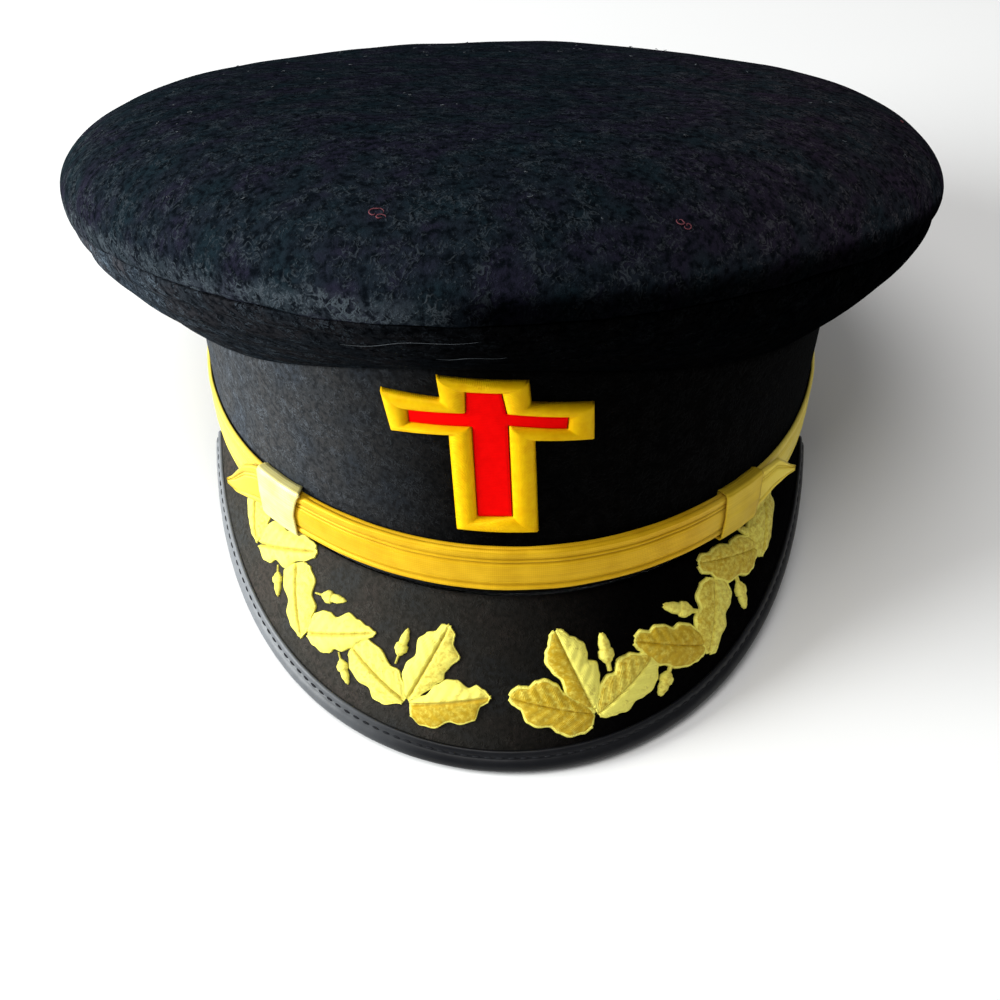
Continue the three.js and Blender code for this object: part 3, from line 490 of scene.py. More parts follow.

# %% [markdown]
# ## Wool
#
# The cap is cut from thick milled wool. Milling felts the weave away and leaves a short nap, so
# close up the cloth is a field of tiny tufts, nearly black in their shadows and grey on their tips,
# with paler fibres that curl over them. Noise at several sizes makes tufts, clumps and slow changes
# of tone, and the thin line where a twisted noise crosses its middle makes the curled fibres.
#
# Black wool has hardly any shine, so the surface has no gloss and only a trace of Sheen. What the
# photograph shows instead is light that dies away across the cap, faster than a lamp in a pale room
# would make it. Each wool therefore has fades of painted light and shade: a tint that changes slowly
# from left to right. Two numbers painted on the crown's points add a painted highlight along the left
# of its ridge and painted shade under its rim on the right.

# %% Wool finish
def wool(name, pit, cloth, curl, warm, cold, coarse=1.0, depth=0.9, painted_light_fades=(), nap=0.0):
    """Milled wool: dark pits between tufts, pale curled fibres, warm and cold patches, painted light fading
    in X.
    """
    finish = Finish(name)
    tufts = finish.grain(1.9 * coarse, 3.0, 0.6)
    fine = finish.grain(0.6 * coarse, 2.0, 0.6)
    clumps = finish.grain(5.0 * coarse, 2.0, 0.5)
    patches = finish.grain(13.0, 2.0, 0.5)
    swirl = finish.grain(2.4 * coarse, 1.0, 0.5, twist=1.3)
    strand = 1.0 - ((swirl - 0.5).size() * 9.0).between(0.25, 1.0)
    strand = strand * (clumps * 0.55 + fine * 0.45).between(0.42, 0.62)
    hollow = tufts.between(0.32, 0.63)
    dyed = finish.blend(patches.between(0.48, 0.62) * 0.85, cloth, warm)
    dyed = finish.blend((1.0 - patches).between(0.50, 0.66) * 0.75, dyed, cold)
    shaded = finish.blend(hollow * (0.55 + fine * 0.6), pit, dyed)
    # painted highlight along the left of the crown's ridge, from the numbers painted there
    ridge_highlight = finish.painted("ridge_highlight")
    pale = strand * (0.62 + ridge_highlight * 0.7) + ridge_highlight * (0.12 + hollow * 0.46)
    colour = finish.blend(pale.between(0.0, 1.25), shaded, curl)
    # painted shade: the crown's underside on the right is darkened by the numbers painted there
    colour = finish.scaled(colour, 1.0 - finish.painted("deep") * 0.9)
    # painted light and shade: each fade tints the wool from a lit colour on the left to a dark one on the
    # right
    for left, right, lit, dark in painted_light_fades:
        rightwards = finish.sideways().between(left, right)
        colour = finish.tinted(colour, finish.blend(rightwards, lit, dark))
    finish.set(
        Base_Color=colour,
        Roughness=1.0 - strand * 0.2,
        Specular_IOR_Level=0.0,
        Sheen_Weight=nap,
        Sheen_Roughness=0.35,
        Sheen_Tint=(0.90, 0.96, 1.0, 1),
    )
    finish.bump(tufts * 0.75 + strand * 0.35 + fine * 0.25 + clumps * 0.4, depth, 0.9)
    return finish.material


print("a wool can be mixed")

# %% Four wools
crown_wool = wool(
    "crown_wool",
    pit=(0.0020, 0.0030, 0.0044, 1),
    cloth=(0.0088, 0.0125, 0.0178, 1),
    curl=(0.036, 0.045, 0.053, 1),
    warm=(0.0120, 0.0112, 0.0215, 1),
    cold=(0.0066, 0.0140, 0.0185, 1),
    depth=0.5,
    # painted light: paler at the far left, and paler and warmer towards the right
    painted_light_fades=[
        (-0.125, -0.085, (1.9, 1.8, 1.6, 1), (1.0, 1.0, 1.0, 1)),
        (0.010, 0.090, (1.0, 1.0, 1.0, 1), (1.75, 1.35, 1.30, 1)),
    ],
)
side_wool = wool(
    "side_wool",
    pit=(0.0014, 0.0016, 0.0020, 1),
    cloth=(0.0085, 0.0095, 0.0110, 1),
    curl=(0.034, 0.040, 0.046, 1),
    warm=(0.0100, 0.0090, 0.0095, 1),
    cold=(0.0070, 0.0090, 0.0115, 1),
    coarse=0.9,
    depth=0.7,
    # painted light on the far left, then painted shade fading to near black on the right
    painted_light_fades=[
        (-0.112, -0.056, (3.5, 3.5, 3.4, 1), (1.0, 1.0, 1.0, 1)),
        (-0.066, 0.006, (1.7, 1.85, 2.0, 1), (0.14, 0.14, 0.14, 1)),
    ],
)
band_wool = wool(
    "band_wool",
    pit=(0.0026, 0.0025, 0.0025, 1),
    cloth=(0.0058, 0.0055, 0.0054, 1),
    curl=(0.013, 0.013, 0.0135, 1),
    warm=(0.0064, 0.0057, 0.0053, 1),
    cold=(0.0052, 0.0057, 0.0066, 1),
    coarse=0.7,
    depth=0.4,
    # painted light on the band's left end, fading to painted shade on the right
    painted_light_fades=[(-0.086, 0.000, (11.5, 12.8, 14.0, 1), (0.28, 0.27, 0.26, 1))],
    nap=0.03,
)
visor_wool = wool(
    "visor_wool",
    pit=(0.0060, 0.0052, 0.0047, 1),
    cloth=(0.0102, 0.0086, 0.0079, 1),
    curl=(0.016, 0.014, 0.013, 1),
    warm=(0.0120, 0.0092, 0.0084, 1),
    cold=(0.0092, 0.0090, 0.0096, 1),
    coarse=0.65,
    depth=0.4,
    # painted light on the visor's left, fading to painted shade on the right
    painted_light_fades=[(-0.075, 0.040, (5.1, 5.6, 5.4, 1), (0.12, 0.12, 0.14, 1))],
    nap=0.01,
)
print("four wools")

# %% [markdown]
# ## Crown
#
# The crown is two pieces of cloth. The top panel is one oval. It is domed over its whole width, curls
# under its rim and ends at a soft ridge, where it is seamed to the side. A circle would dome too high
# in the middle, so the section is a superellipse, which bends more and more towards its rim. A wide
# arc makes the curl, and a tight one the ridge. The panel is laid from a grid: columns go round the
# cap, and rows go out from the middle. Slow noise lifts and sinks the cloth by about a millimetre,
# because cloth over a form is never quite even, and small gathers ease it into the seam. The panel
# also keeps two numbers for its finish at every point: a painted highlight along the left of its ridge
# and painted shade where it turns under on the right.

# %% Form of the top panel
ROUND_COLUMNS = 240
TOP_ROWS = 112
RIM_ROW = 0.88
FLAT_ROWS = 0.6
FLAT_SHARE = 0.88
SIZE_ROUND = 740
SIZE_OUT = 160


def smooth_step(low, high, value):
    """0 below low, 1 above high and a smooth step between them."""
    share = min(max((value - low) / (high - low), 0), 1)
    return share * share * (3 - 2 * share)


def mix(first, second, share):
    return first + (second - first) * share


def round_again(angle, seed):
    """A place for noise that meets itself again after a whole turn."""
    return Vector((3.5 * math.cos(math.radians(angle)), 3.5 * math.sin(math.radians(angle)), seed))


def pucker(angle, count, seed):
    """Small gathers along a seam, from -1 to 1, of changing strength."""
    strength = 0.6 + 0.8 * noise.noise(round_again(angle, seed))
    wander = 2.0 * noise.noise(round_again(angle, seed + 5.0) * 1.7)
    return strength * math.sin(math.radians(angle * count) + wander)


def top_bend(along):
    """Bend of a row: rows are spread by distance on the flat part and by angle near the rim."""
    first = math.degrees(math.asin(FLAT_SHARE ** (CROWN_POWER / 2)))
    if along < FLAT_ROWS:
        return math.degrees(math.asin((FLAT_SHARE * along / FLAT_ROWS) ** (CROWN_POWER / 2)))
    return mix(first, 90.0, (along - FLAT_ROWS) / (1 - FLAT_ROWS))


def slack(spot):
    """How far the cloth lies off the form under it, up or down."""
    return 0.9 * noise.noise(spot / 48.0) + 0.35 * noise.noise(spot / 17.0)


def round_angle(across):
    """Degrees from the front for a column of a pattern that goes once round the cap."""
    return across * 360.0 - 180.0


def past_rim(along):
    """How far a row lies past the rim: 0 at the rim and 1 at the panel's edge."""
    return (along - RIM_ROW) / (1 - RIM_ROW)


def top_place(across, along):
    angle = round_angle(across)
    if along < RIM_ROW:
        bend = top_bend(along / RIM_ROW)
        loose = slack(dome_point(angle, bend)) * smooth_step(0.0, 0.05, along)
        return dome_point(angle, bend, loose)
    turn = past_rim(along)
    under = PANEL_END * min(turn / 0.8, 1.0)
    loose = slack(under_point(angle, under))
    gathers = 0.14 * pucker(angle, 46, 3.0) * smooth_step(0.2, 0.8, turn)
    return under_point(angle, under, loose + gathers - 0.7 * smooth_step(0.76, 1.0, turn))


print("ridge in front at", [round(c, 1) for c in top_place(0.5, 0.95)], "mm on the cap")

# %% Top panel and its nap
def right_side(angle):
    """0 on the left, where light falls under the rim, and 1 on the right and in front."""
    return smooth_step(0.295, 0.385, (1 + math.cos(math.radians(angle - 110))) / 2)


def painted_ridge_highlight(angle, along):
    """Painted highlight: how pale the nap is made along the left of the ridge where the panel turns under.
    """
    turn = past_rim(along)
    on_ridge = smooth_step(-0.35, 0.25, turn) * (1 - smooth_step(0.55, 0.75, turn))
    return on_ridge * (1 - right_side(angle))


def painted_under_shade(angle, along):
    """Painted shade: how dark the nap is made where it turns under on the right."""
    return smooth_step(-0.35, 0.20, past_rim(along)) * right_side(angle)


top_panel = flat_pattern(ROUND_COLUMNS, TOP_ROWS, SIZE_ROUND, SIZE_OUT)
ridge_highlight_layer = top_panel.verts.layers.float.new("ridge_highlight")
under_shade_layer = top_panel.verts.layers.float.new("deep")
# each point gets its painted ridge highlight and its painted shade under the rim
for vert in top_panel.verts:
    angle = round_angle(vert.co.x)
    vert[ridge_highlight_layer] = painted_ridge_highlight(angle, vert.co.y)
    vert[under_shade_layer] = painted_under_shade(angle, vert.co.y)
crown_top = cloth(
    "crown_top_cloth", top_panel, top_place, crown_wool, "crown_wool", "crown_top", CROWN_WALL
)

# %% [markdown]
# ## Side of the crown
#
# The side is a curved strip that runs from the seam under the ridge back in to the band. It swells a
# little, as cloth does over the wire in a stiff crown, and has three soft creases at the front left,
# where it is drawn in. Each crease is a bell curve across the strip that fades out along it.

# %% Side of the crown
SIDE_CREASES = [(0.20, 1.1, 0.05), (0.42, 0.8, 0.05), (0.66, 0.7, 0.06)]
CREASE_ANGLE = -42
CREASE_SPREAD = 40
SIDE_ROWS = 72
LIP = 0.08


def side_seam_point(angle):
    """Where the side meets the band, just outside it."""
    return band_point(angle, seam_height(angle), 0.15)


def side_place(across, along):
    angle = round_angle(across)
    out = band_normal(angle)
    top = under_point(angle, SIDE_START) - Vector((0, 0, 0.15))
    past_lip = (along - LIP) / (1 - LIP)
    down = smooth_step(0.0, 1.0, past_lip) * 0.4 + max(past_lip, 0) * 0.6
    point = top.lerp(side_seam_point(angle), down)
    swell = SIDE_BULGE * math.sin(math.pi * down ** 0.75)
    loose = 0.9 * noise.noise(point / 26.0) * math.sin(math.pi * down)
    wander = 0.07 * noise.noise(round_again(angle, 4.0))
    left = bell(angle - CREASE_ANGLE, CREASE_SPREAD)
    crease = 0.0
    for place, depth, width in SIDE_CREASES:
        crease += depth * bell(down - place - wander, width) * left
    gathers = 0.25 * pucker(angle, 38, 11.0) * down * (1 - smooth_step(0.9, 1.0, down))
    tuck = -0.5 * smooth_step(0.94, 1.0, down) - 1.6 * (1 - smooth_step(0.0, LIP, along))
    return point + out * (swell + loose + gathers + tuck - crease)


side_panel = flat_pattern(ROUND_COLUMNS, SIDE_ROWS, 640, 60)
crown_side = cloth(
    "crown_side_cloth", side_panel, side_place, side_wool, "crown_wool", "crown_side", CROWN_WALL
)

# %% [markdown]
# ## Lint
#
# Wool gathers lint. Curls of red thread lie on the crown, pale bits are scattered over it, and two
# thread ends show under its rim. Each is a fibre: a small flat grid that is rolled round a path. The
# path of a curl turns on the dome and lifts off it in the middle. A seeded draw spreads the pale
# ones, so every run gives the same cap, and all fibres of one colour are joined to one piece.

# %% Fibres and their paths
RED_CURLS = [
    (-6.4, 0.914, 1.6),
    (-5.6, 0.922, 1.2),
    (27, 0.952, 1.0),
    (27.7, 0.960, 0.7),
    (86.5, 0.901, 0.8),
]
RED_THICK = 0.14
PALE_CURLS = 90
PALE_THICK = 0.09
THREAD_ENDS = [(-12, 4, 0.34, 0.22), (-3, 5, 0.46, 0.42)]
THREAD_THICK = 0.055
SEWN_PLACE = 0.00002


def dome_frame(angle, share):
    """A point on the dome with two directions along it and the one that leaves it."""
    bend = math.degrees(math.asin(share ** (CROWN_POWER / 2)))
    form = dome_point(angle, bend)
    sideways = (dome_point(angle + 1, bend) - form).normalized()
    up = (dome_point(angle, bend, 1.0) - form).normalized()
    here = form + up * slack(form)
    return here, sideways, up.cross(sideways), up


def fibre(path, radius, steps):
    """A thin tube along a path, which gives a point of the cap for a share of its length."""
    tube = flat_pattern(steps, 5, 1, 1)

    def place(across, along):
        here = path(across)
        ahead = (path(across + 0.01) - path(across - 0.01)).normalized()
        aside = ahead.cross(Vector((0, 0.3, 1))).normalized()
        turn = 2 * math.pi * along
        thin = radius * (0.25 + 0.75 * math.sin(math.pi * across) ** 0.5)
        return here + (aside * math.cos(turn) + aside.cross(ahead) * math.sin(turn)) * thin

    return lay(tube, place)


def curl_path(angle, share, radius, turns, start):
    """A path that curls up on the dome, and lifts off it a little in its middle."""
    here, sideways, onwards, up = dome_frame(angle, share)

    def path(along):
        wander = noise.noise(Vector((along * 3.0, angle, share * 40.0)))
        turn = start + (turns * along + wander * 0.35) * 2 * math.pi
        reach = radius * (1.0 - 0.45 * along + wander * 0.7)
        lift = 0.10 + 0.30 * math.sin(math.pi * along) * min(radius, 1.0)
        across = sideways * math.cos(turn) * reach
        return here + across + onwards * math.sin(turn) * reach * 0.8 + up * lift

    return path


def thread_path(first, last, from_down, to_down):
    """A path along the front of the crown's side."""

    def path(along):
        angle = mix(first, last, along)
        across = (angle + 180) / 360
        sag = 0.012 * math.sin(9 * along)
        return side_place(across, mix(from_down, to_down, along) + sag) + band_normal(angle) * 0.12

    return path


def joined(parts, sewn=False):
    """One mesh made of many, with the edges that meet made one where the parts are sewn together."""
    whole = bmesh.new()
    for part in parts:
        holder = bpy.data.meshes.new("part")
        part.to_mesh(holder)
        part.free()
        whole.from_mesh(holder)
        bpy.data.meshes.remove(holder)
    if sewn:
        bmesh.ops.remove_doubles(whole, verts=whole.verts, dist=SEWN_PLACE)
    bmesh.ops.recalc_face_normals(whole, faces=whole.faces)
    return whole


print(len(RED_CURLS), "red curls,", PALE_CURLS, "pale ones and", len(THREAD_ENDS), "thread ends")

# %% Lint
red_parts = []
for angle, share, radius in RED_CURLS:
    red_parts.append(fibre(curl_path(angle, share, radius, 0.95, angle), RED_THICK, 26))
lint = random.Random(4)
pale_parts = []
for _ in range(PALE_CURLS):
    place = (lint.uniform(-180, 180), lint.uniform(0.15, 0.99) ** 0.6)
    radius = lint.uniform(0.35, 0.9)
    turns = lint.uniform(0.25, 0.6)
    pale_parts.append(fibre(curl_path(*place, radius, turns, lint.uniform(0, 6)), PALE_THICK, 8))
for first, last, from_down, to_down in THREAD_ENDS:
    pale_parts.append(fibre(thread_path(first, last, from_down, to_down), THREAD_THICK, 60))


def lint_finish(name, red, green, blue):
    """Soft fibre, in patches of the colour and of half of it."""
    finish = Finish(name)
    patches = finish.blend(
        finish.grain(0.5), (red, green, blue, 1), (red * 0.5, green * 0.5, blue * 0.5, 1)
    )
    finish.set(Base_Color=patches, Roughness=0.8, Specular_IOR_Level=0.2)
    return finish.material


red_fibre = lint_finish("lint_red", 0.17, 0.046, 0.060)
pale_fibre = lint_finish("lint_pale", 0.075, 0.085, 0.095)
finished("lint_red", joined(red_parts), red_fibre, "red_thread")
finished("lint_pale", joined(pale_parts), pale_fibre, "crown_wool")

# %% [markdown]
# ## Head band
#
# The band is a plain strip stood on its edge, stiffened inside, low at the back and high at the
# front. Its rim is rounded where the cloth folds under. A straight grid bent round the head shape
# makes it, with the last row turned in at the rim and the first tucked under the crown's seam.

# %% Head band
RIM_ROLL = 1.2
BAND_ROWS = 60


def band_place(across, along):
    angle = round_angle(across)
    height = seam_height(angle) + 0.3
    z = height * (1 - along)
    ripple = 0.22 * noise.noise(band_point(angle, z) / 24.0)
    rim = -RIM_ROLL * (1 - smooth_step(0.0, 1.6, z)) ** 2
    tucked = -0.5 * (1 - smooth_step(0.0, 1.4, height - z))
    return band_point(angle, z, ripple * smooth_step(0, 6, z) + rim + tucked)


head_band = flat_pattern(ROUND_COLUMNS, BAND_ROWS, 590, 69)
band = cloth("band_cloth", head_band, band_place, band_wool, "band_wool", "band", BAND_WALL - 0.4)

# %% [markdown]
# ## Visor and its binding
#
# The visor is a curved board covered in cloth. A strip of black patent leather is folded over its
# edge and sewn down with one row of machine stitches. The board is one grid with a wall. The binding
# is the outline of the fold, swept from one end of the visor to the other, and the stitches are
# small flattened beads set into the leather, one after the other.

# %% Patent leather and thread finishes
def patent_leather():
    """Black leather with a soft gloss and a painted grey reflection on its left."""
    finish = Finish("patent_leather")
    pores = finish.grain(0.5, 3.0, 0.6)
    creases = finish.grain(2.6, 3.0, 0.6)
    wear = finish.grain(7.0, 3.0, 0.6).between(0.50, 0.80)
    # painted reflection: the leather's left is painted pale grey, where it faces the light from the left
    painted_reflection = 1.0 - finish.sideways().between(-0.088, -0.012)
    plain = finish.blend(wear, (0.0030, 0.0034, 0.0050, 1), (0.010, 0.011, 0.014, 1))
    finish.set(
        Base_Color=finish.blend(painted_reflection * (0.72 + creases * 0.4), plain, (0.20, 0.212, 0.228, 1)),
        Roughness=0.38 + wear * 0.10 + pores * 0.06,
        Specular_IOR_Level=0.20,
        Coat_Weight=0.05,
        Coat_Roughness=0.25,
    )
    finish.bump(creases * 0.5 + pores * 0.5, 0.06, 0.5)
    return finish.material


def sewing_thread():
    finish = Finish("sewing_thread")
    twist = finish.grain(0.3, 2.0, 0.6)
    finish.set(
        Base_Color=finish.blend(twist, (0.0015, 0.0015, 0.002, 1), (0.016, 0.017, 0.021, 1)),
        Roughness=0.75,
        Specular_IOR_Level=0.15,
    )
    finish.bump(twist, 0.15, 0.6)
    return finish.material


leather = patent_leather()
stitch_thread = sewing_thread()
print("leather and sewing thread")

# %% Visor
VISOR_COLUMNS = 150
VISOR_ROWS = 36


def visor_place(across, along):
    angle = mix(-VISOR_END, VISOR_END, across)
    reach = mix(-0.5, visor_depth(angle) - 0.3, along)
    ripple = 0.18 * noise.noise(visor_point(angle, reach) / 20.0)
    return visor_point(angle, reach, ripple)


visor_sheet = flat_pattern(VISOR_COLUMNS, VISOR_ROWS, 265, 44)
visor = cloth(
    "visor_cloth", visor_sheet, visor_place, visor_wool, "visor_wool", "visor", VISOR_WALL, BELOW_VISOR
)

# %% Binding
BINDING_FOLD = [
    (-4.6, 0.10), (-4.5, 0.75), (-4.0, 1.00), (-3.2, 0.98), (-2.5, 0.82), (-1.7, 1.15),
    (-0.6, 1.28), (0.4, 1.05), (1.05, 0.40), (1.30, -0.50), (1.25, -1.60), (0.90, -2.70),
    (0.10, -3.35), (-1.2, -3.50), (-3.2, -3.40), (-4.3, -3.20), (-4.5, -2.30),
]
STITCH_ROW = -2.6


def along_fold(share):
    """Point on the binding's section at that share of the way round it."""
    place = share * (len(BINDING_FOLD) - 1)
    index = min(int(place), len(BINDING_FOLD) - 2)
    here = Vector(BINDING_FOLD[index])
    there = Vector(BINDING_FOLD[index + 1])
    return here.lerp(there, place - index)


def binding_place(across, along):
    angle = mix(-VISOR_END, VISOR_END, across)
    past, lift = along_fold(1 - along)
    ripple = 0.03 * math.sin(math.radians(angle) * 118) * smooth_step(-4.6, -3.6, past)
    ripple *= past < -1.0
    ripple += 0.07 * noise.noise(Vector((angle / 3.0, past / 3.0, 2.0)))
    reach = visor_depth(angle) + past
    return visor_point(angle, reach, lift + ripple * (lift > 0))


binding = flat_pattern(260, 32, 275, 14)
inside_fold = settled(visor_point(0, visor_depth(0) - 1.5, -1.1))
cloth(
    "binding_leather", binding, binding_place, leather, "leather", "visor_binding", 0.55, inside_fold
)

# %% Stitches of the binding
STITCH_PITCH = 3.1
STITCH_LIFT = 0.88
STITCH_SIZE = Vector((1.05, 0.34, 0.24))


def oriented(along, up):
    """A turn whose X axis runs along one direction and whose Z axis leans to another."""
    x_axis = along.normalized()
    y_axis = up.cross(x_axis).normalized()
    return Matrix((x_axis, y_axis, x_axis.cross(y_axis))).transposed()


def bead(bm, point, along, up, size):
    """Adds a small rounded bead at a point of the cap, of that half length, width and height."""
    turn = (LEANING @ oriented(along, up)).to_4x4()
    scale = Matrix.Diagonal((*(size * MM), 1))
    place = Matrix.Translation(settled(point)) @ turn @ scale
    bmesh.ops.create_uvsphere(bm, u_segments=10, v_segments=6, radius=1.0, matrix=place)


stitches = bmesh.new()
angle = -VISOR_END + 1.0
while angle < VISOR_END - 1.0:
    reach = visor_depth(angle) + STITCH_ROW
    here = visor_point(angle, reach, STITCH_LIFT)
    ahead = visor_point(angle + 0.5, visor_depth(angle + 0.5) + STITCH_ROW, STITCH_LIFT)
    up = visor_point(angle, reach, 2.0) - here
    bead(stitches, here, ahead - here, up, STITCH_SIZE)
    angle += 0.5 * STITCH_PITCH / (ahead - here).length
finished("binding_stitches", stitches, stitch_thread, "leather")

# %% [markdown]
# ## Gold lace
#
# The strap is woven gold lace: bright thread over a cotton core, with a raised edge on both sides,
# three fine furrows and a broad rib. The weft shows as close, fine ridges across it. It is half yellow
# silk and half metal in look, so the finish is a warm yellow with some metal in it. The furrows are
# in the mesh and darkened with painted shade, and the weft, a tenth of that size, is bump from the
# strap's own pattern. Towards both ends the lace is painted lemon, a painted highlight for the light
# from the side.

# %% Gold lace finish
STRAP_HEIGHT = 13.2
LACE_FURROWS = (0.150, 0.690, 0.780)


def gold_lace(name, deep, bright, furrows=(), lemon=0.0):
    """Woven gold thread: faint lengthwise streaks, fine weft ridges, furrows in painted shade and ends in
    painted highlight.
    """
    finish = Finish(name)
    along, across = finish.pattern_places()
    weft = along.wave(0.5 * MM)
    warp = across.wave(0.6 * MM)
    stretched = finish.add("ShaderNodeCombineXYZ", {}, {0: along * 30.0, 1: across * 1100.0})
    streaks = finish.add("ShaderNodeTexNoise", {}, {"Vector": stretched, "Scale": 1.0, "Detail": 2.0})
    cloud = finish.grain(6.0, 2.0, 0.5)
    tone = (streaks * 0.30 + weft * 0.08 + warp * 0.10 + cloud * 0.5).between(0.25, 0.75)
    colour = finish.blend(tone, deep, bright)
    # painted shade along each furrow
    for share in furrows:
        shadow = 1.0 - (across - share * STRAP_HEIGHT * MM).size().between(0.00010, 0.00042)
        colour = finish.blend(shadow * 0.33, colour, (0.20, 0.085, 0.002, 1))
    # painted highlight: both ends of the strap are blended to lemon
    ends = finish.sideways().size().between(0.046, 0.080)
    finish.set(
        Base_Color=finish.blend(ends * lemon, colour, (0.88, 0.75, 0.13, 1)),
        Metallic=0.12,
        Roughness=0.42 - weft * 0.05,
        Specular_IOR_Level=0.22,
        Specular_Tint=(1.0, 0.80, 0.30, 1),
    )
    finish.bump(weft * 0.30 + warp * 0.25 + streaks * 0.30, 0.12, 0.5)
    return finish.material


strap_lace = gold_lace(
    "strap_lace",
    deep=(0.58, 0.32, 0.005, 1),
    bright=(0.78, 0.47, 0.014, 1),
    furrows=LACE_FURROWS,
    lemon=0.75,
)
# The left slide is painted paler and lemon, a painted highlight for the light from the left; the right one
# keeps the strap's gold.
slide_laces = {
    -1: gold_lace("slide_lace_left", (0.72, 0.60, 0.17, 1), (0.86, 0.80, 0.36, 1)),
    1: gold_lace("slide_lace_right", (0.56, 0.36, 0.014, 1), (0.76, 0.54, 0.040, 1)),
}
print("gold lace")

# %% Strap
LACE_ROWS = 80
LACE_WALL = 0.6
STRAP_BASE = 4.2
STRAP_RISE = 10.0
STRAP_END = 111.0
UNDER_LAYER = 1.2
OVER_LAYER = 2.5
SIDE_LAYER = 0.7
SLIDE_ANGLE = 43.5
SLIDE_HALF = 4.6
BUTTON_ANGLE = 106.0
END_START = 48.3
END_FLARE = math.radians(18.0)
STRAP_ENDS = {
    -1: [(0.0, 4.2, 17.4), (3.0, 4.4, 17.2), (6.4, 4.5, 15.9), (10.3, 5.0, 11.4), (12.9, 7.6, 8.4)],
    1: [(0.0, 4.2, 17.4), (3.0, 6.4, 18.4), (6.2, 9.6, 19.6), (9.6, 11.9, 16.9), (12.6, 13.6, 14.4)],
}
LACE_SECTION = [
    (0.000, 0.10), (0.020, 0.62), (0.050, 0.98), (0.100, 1.04), (0.130, 0.82), (0.150, 0.48),
    (0.170, 0.70), (0.230, 1.00), (0.420, 1.14), (0.600, 1.06), (0.665, 0.86), (0.690, 0.48),
    (0.712, 0.78), (0.735, 0.90), (0.758, 0.78), (0.780, 0.48), (0.805, 0.84), (0.870, 1.08),
    (0.940, 1.06), (0.980, 0.64), (1.000, 0.10),
]


def reading(table, place):
    """Value of a table of (place, value) pairs, read smoothly between its rows."""
    for (low, first), (high, second) in zip(table, table[1:]):
        if place <= high:
            return mix(first, second, smooth_step(low, high, place))
    return table[-1][1]


def strap_base(angle):
    """Lower edge of the strap: level over the visor, rising to the side buttons."""
    share = max(abs(angle) - 50, 0) / (BUTTON_ANGLE - 50)
    return STRAP_BASE + STRAP_RISE * share * share


def strap_off(angle, layer):
    """Distance of a layer from the band, which it nears between the slide and the button."""
    return mix(layer, SIDE_LAYER, smooth_step(SLIDE_ANGLE + SLIDE_HALF, 72, abs(angle)))


def long_strap_place(across, along):
    angle = mix(-STRAP_END, STRAP_END, across)
    z = strap_base(angle) + STRAP_HEIGHT * along
    off = strap_off(angle, UNDER_LAYER) + reading(LACE_SECTION, along) - 0.35
    off += 0.12 * noise.noise(Vector((angle / 6.0, along, 4.0)))
    return band_point(angle, z) + band_normal(angle) * off


long_strap = flat_pattern(420, LACE_ROWS, 355, STRAP_HEIGHT)
strap_long = cloth(
    "strap_long_lace", long_strap, long_strap_place, strap_lace, "gold_lace", "strap_long", LACE_WALL
)

# %% Front layer of the strap
FRONT_SHARE = 0.86


def strap_end_point(side, run, z, off):
    """Point on a loose end of the front strap, run past the slide, raised off its face by off."""
    out = band_normal(END_START * side)
    onwards = Vector((-out.y * side, out.x * side, 0))
    ahead = onwards * math.cos(END_FLARE) + out * math.sin(END_FLARE)
    face = out * math.cos(END_FLARE) - onwards * math.sin(END_FLARE)
    foot = band_point(END_START * side, z) + out * OVER_LAYER
    return foot + ahead * run + face * off


def end_edges(side, run):
    """Lower and upper edge of a loose end at that run."""
    rows = STRAP_ENDS[side]
    for (first, low, high), (second, next_low, next_high) in zip(rows, rows[1:]):
        if run <= second:
            share = (run - first) / (second - first)
            return mix(low, next_low, share), mix(high, next_high, share)
    return rows[-1][1], rows[-1][2]


def front_strap_place(across, along):
    swing = across * 2 - 1
    side = -1 if swing < 0 else 1
    off = reading(LACE_SECTION, along) - 0.35
    if abs(swing) <= FRONT_SHARE:
        angle = swing / FRONT_SHARE * END_START
        z = STRAP_BASE + STRAP_HEIGHT * along
        off += 0.12 * noise.noise(Vector((angle / 6.0, along, 9.0)))
        return band_point(angle, z) + band_normal(angle) * (OVER_LAYER + off)
    run = (abs(swing) - FRONT_SHARE) / (1 - FRONT_SHARE) * STRAP_ENDS[side][-1][0]
    low, high = end_edges(side, run)
    return strap_end_point(side, run, mix(low, high, along), off)


front_strap = flat_pattern(300, LACE_ROWS, 182, STRAP_HEIGHT)
strap_front = cloth(
    "strap_front_lace",
    front_strap,
    front_strap_place,
    strap_lace,
    "gold_lace",
    "strap_front",
    LACE_WALL,
)

# %% Slides
SLIDE_LOW = STRAP_BASE - 1.2
SLIDE_HIGH = STRAP_BASE + STRAP_HEIGHT + 1.2
SLIDE_NEAR = UNDER_LAYER - 0.9
SLIDE_FAR = OVER_LAYER + 1.75
SLIDE_FLARE = {-1: 1.7, 1: 0.3}
SLIDE_LOOP = [
    (0.00, SLIDE_NEAR, SLIDE_LOW + 0.5),
    (0.05, SLIDE_NEAR + 1.2, SLIDE_LOW),
    (0.10, SLIDE_FAR - 0.7, SLIDE_LOW),
    (0.14, SLIDE_FAR, SLIDE_LOW + 0.9),
    (0.30, SLIDE_FAR + 0.25, SLIDE_LOW + 7.8),
    (0.46, SLIDE_FAR, SLIDE_HIGH - 0.9),
    (0.50, SLIDE_FAR - 0.7, SLIDE_HIGH),
    (0.55, SLIDE_NEAR + 1.2, SLIDE_HIGH),
    (0.60, SLIDE_NEAR, SLIDE_HIGH - 0.5),
    (0.80, SLIDE_NEAR, SLIDE_LOW + 7.8),
    (1.00, SLIDE_NEAR, SLIDE_LOW + 0.5),
]


